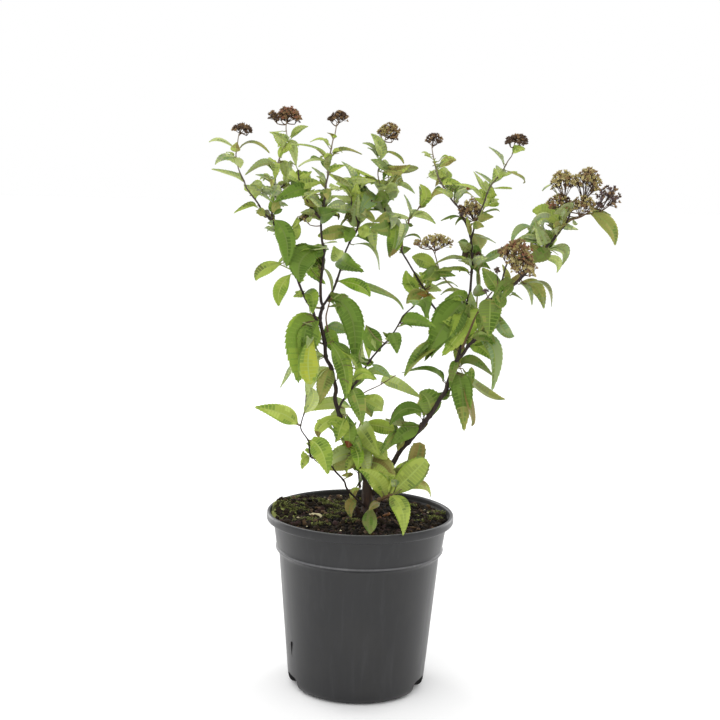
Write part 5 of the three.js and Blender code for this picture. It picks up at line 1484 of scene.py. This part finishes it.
b = Bag()
rng = random.Random(31)
for i in range(2500):
    r, a = 87.0 * math.sqrt(rng.random()), rng.uniform(0, 6.2832)
    x, y = r * math.cos(a), r * math.sin(a)
    size = rng.choice((0.6, 0.8, 1.1, 1.5, 2.1, 2.9)) * rng.uniform(0.8, 1.2)
    v = noise.noise(Vector((x * 0.07, y * 0.07, 9.0)))
    mat = rng.choice((G_DARK, G_PEAT, G_PURPLE if v > 0.15 else G_DARK, G_PEAT, G_CHIP if rng.random() < 0.35 else G_PEAT))
    lump(b, (x, y, soil_height(x, y) + size * 0.2), size, mat, rng)
for i in range(150):
    r, a = 86.0 * math.sqrt(rng.random()), rng.uniform(0, 6.2832)
    x, y = r * math.cos(a), r * math.sin(a)
    lump(b, (x, y, soil_height(x, y) + 0.7), rng.uniform(1.6, 3.6), rng.choice((G_CHIP, G_DARK, G_PURPLE, G_PEAT, G_CHIP)), rng, 0.32, rng.uniform(1.2, 2.0))
for i in range(26):
    r, a = 86.0 * math.sqrt(rng.random()), rng.uniform(0, 6.2832)
    x, y = r * math.cos(a), r * math.sin(a)
    lump(b, (x, y, soil_height(x, y) + 0.8), rng.uniform(0.8, 1.6), G_PALE, rng, 0.6, rng.uniform(1.0, 1.8))
for i in range(46):
    r, a = 82.0 * math.sqrt(rng.random()), rng.uniform(0, 6.2832)
    x, y, d = r * math.cos(a), r * math.sin(a), rng.uniform(0, 6.28)
    L = rng.uniform(6, 15)
    pts = []
    for q in (0, 0.33, 0.66, 1):
        xx, yy = x + math.cos(d + 0.7 * q) * L * q, y + math.sin(d + 0.7 * q) * L * q
        pts.append(np.array((xx, yy, soil_height(xx, yy) + 0.5 + 1.1 * math.sin(q * 3.1))))
    if math.hypot(pts[-1][0], pts[-1][1]) < 86:
        tube(b, pts, (0.28, 0.16), 5, rng.choice((G_ROOT, G_CHIP, G_DARK)), step=2.0)
ob = b.build("soil_crumbs", SOIL_MATS)
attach(ob, "root")


# moss cushions: short shoots with a few tiny leaves each
def moss(bag, cx, cy, radius, count, rng):
    for i in range(count):
        r, a = radius * math.sqrt(rng.random()), rng.uniform(0, 6.2832)
        x, y = cx + r * math.cos(a) * 1.5, cy + r * math.sin(a) * 0.8
        if math.hypot(x, y) > 89.0:
            continue
        z = soil_height(x, y)
        H = rng.uniform(2.0, 4.0) * (1 - 0.4 * r / radius)
        tilt = np.array((rng.uniform(-0.4, 0.4), rng.uniform(-0.4, 0.4), 1.0))
        mat = rng.choice((G_MOSS, G_MOSS, G_MOSS2))
        foot = np.array((x, y, z))
        for k in range(4):
            t = rng.uniform(0, 6.28)
            out = np.array((math.cos(t), math.sin(t), 0.0))
            at = foot + unit(tilt) * H * (0.3 + 0.2 * k)
            tip = at + unit(tilt) * H * 0.45 + out * H * 0.4
            w = np.cross(unit(tip - at), out + Z * 0.3)
            w = unit(w) * H * 0.14
            back = unit(np.cross(w, tip - at)) * H * 0.06
            m0 = (at + tip) * 0.5
            verts = [at, m0 + w + back, m0 - w + back, m0 - back, tip]
            bag.add(verts, [(0, 1, 2), (0, 3, 1), (0, 2, 3), (4, 2, 1), (4, 1, 3), (4, 3, 2)], mat)


b = Bag()
rng = random.Random(57)
for px, py, radius, count in ((285, 505, 11, 420), (277, 502, 10, 360), (273, 508, 9, 320), (294, 500, 9, 240), (296, 515, 9, 260), (282, 514, 8, 200), (310, 523, 8, 190), (441, 515, 9, 300),
                              (449, 508, 7, 190), (434, 521, 7, 150), (340, 514, 9, 260), (330, 519, 7, 160), (322, 527, 6, 120), (352, 524, 6, 110),
                              (300, 512, 4, 40), (372, 527, 5, 50), (420, 524, 4, 40)):
    # the pixel's ray meets the soil at this point
    lo, hi = -110.0, 110.0
    for _ in range(40):
        mid_y = 0.5 * (lo + hi)
        p = place(px, py, mid_y)
        lo, hi = (mid_y, hi) if p[2] > 172.5 else (lo, mid_y)
    moss(b, p[0], p[1], radius, count, rng)
for i in range(14):
    a = rng.uniform(0.3, 2.9)
    r = rng.uniform(35, 82)
    moss(b, r * math.cos(a), r * math.sin(a), rng.uniform(3, 8), rng.randrange(30, 110), rng)
ob = b.build("moss", SOIL_MATS)
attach(ob, "root")

# one pale wood chip near the front
b = Bag()
lo, hi = -110.0, 110.0
for _ in range(40):
    mid_y = 0.5 * (lo + hi)
    p = place(317, 517.5, mid_y)
    lo, hi = (mid_y, hi) if p[2] > 173.5 else (lo, mid_y)
tube(b, [p + np.array((-6.8, 3.0, 0.4)), p + np.array((-3.4, 1.2, 1.6)), p + np.array((1.5, 0.6, 1.4)), p + np.array((6.6, -3.0, 0.2))], (3.3, 1.6), 9, G_PALE, relief=0.5, step=1.0, seed=3.0, blunt=True)
ob = b.build("wood_chip", SOIL_MATS)
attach(ob, "root")

# ------------------------------------------------------------------ floor and light
m, nt, bsdf = new_material("floor_white")
bsdf.inputs["Base Color"].default_value = (0.96, 0.96, 0.96, 1)
bsdf.inputs["Roughness"].default_value = 0.9
bsdf.inputs["Specular IOR Level"].default_value = 0.1
me = bpy.data.meshes.new("floor")
N = 96
me.from_pydata([(0, 0, -0.0002)] + [(25 * math.cos(2 * math.pi * i / N), 25 * math.sin(2 * math.pi * i / N), -0.0002) for i in range(N)], [],
               [(0, 1 + i, 1 + (i + 1) % N) for i in range(N)])
me.materials.append(m)
floor = bpy.data.objects.new("floor", me)
bpy.context.scene.collection.objects.link(floor)

world = bpy.data.worlds.new("studio")
bpy.context.scene.world = world
world.use_nodes = True
bg = world.node_tree.nodes["Background"]
bg.inputs["Color"].default_value = (1.0, 1.0, 1.0, 1)
bg.inputs["Strength"].default_value = 1.0


sun = bpy.data.lights.new("soft_sun", "SUN")
sun.energy = 0.5
sun.angle = math.radians(50)
ob = bpy.data.objects.new("soft_sun", sun)
ob.rotation_euler = (Vector((0.0, 0.0, 0.0)) - Vector((-0.5, -0.8, 1.6))).to_track_quat("-Z", "Y").to_euler()
bpy.context.scene.collection.objects.link(ob)

# a broad soft box stands behind the plant on each side, out of the picture
for side, power in ((-1.0, 21.0), (1.0, 17.0)):
    box = bpy.data.lights.new("soft_box", "AREA")
    box.shape, box.size, box.size_y, box.energy = "RECTANGLE", 1.3, 1.8, power
    ob = bpy.data.objects.new("soft_box", box)
    ob.location = (side * 1.45, 1.35, 0.75)
    ob.rotation_euler = (Vector((0.0, 0.0, 0.25)) - ob.location).to_track_quat("-Z", "Y").to_euler()
    bpy.context.scene.collection.objects.link(ob)

scene = bpy.context.scene
scene.view_settings.view_transform = "Standard"
scene.view_settings.look = "None"
scene.view_settings.exposure = 0.0
scene.view_settings.gamma = 1.0
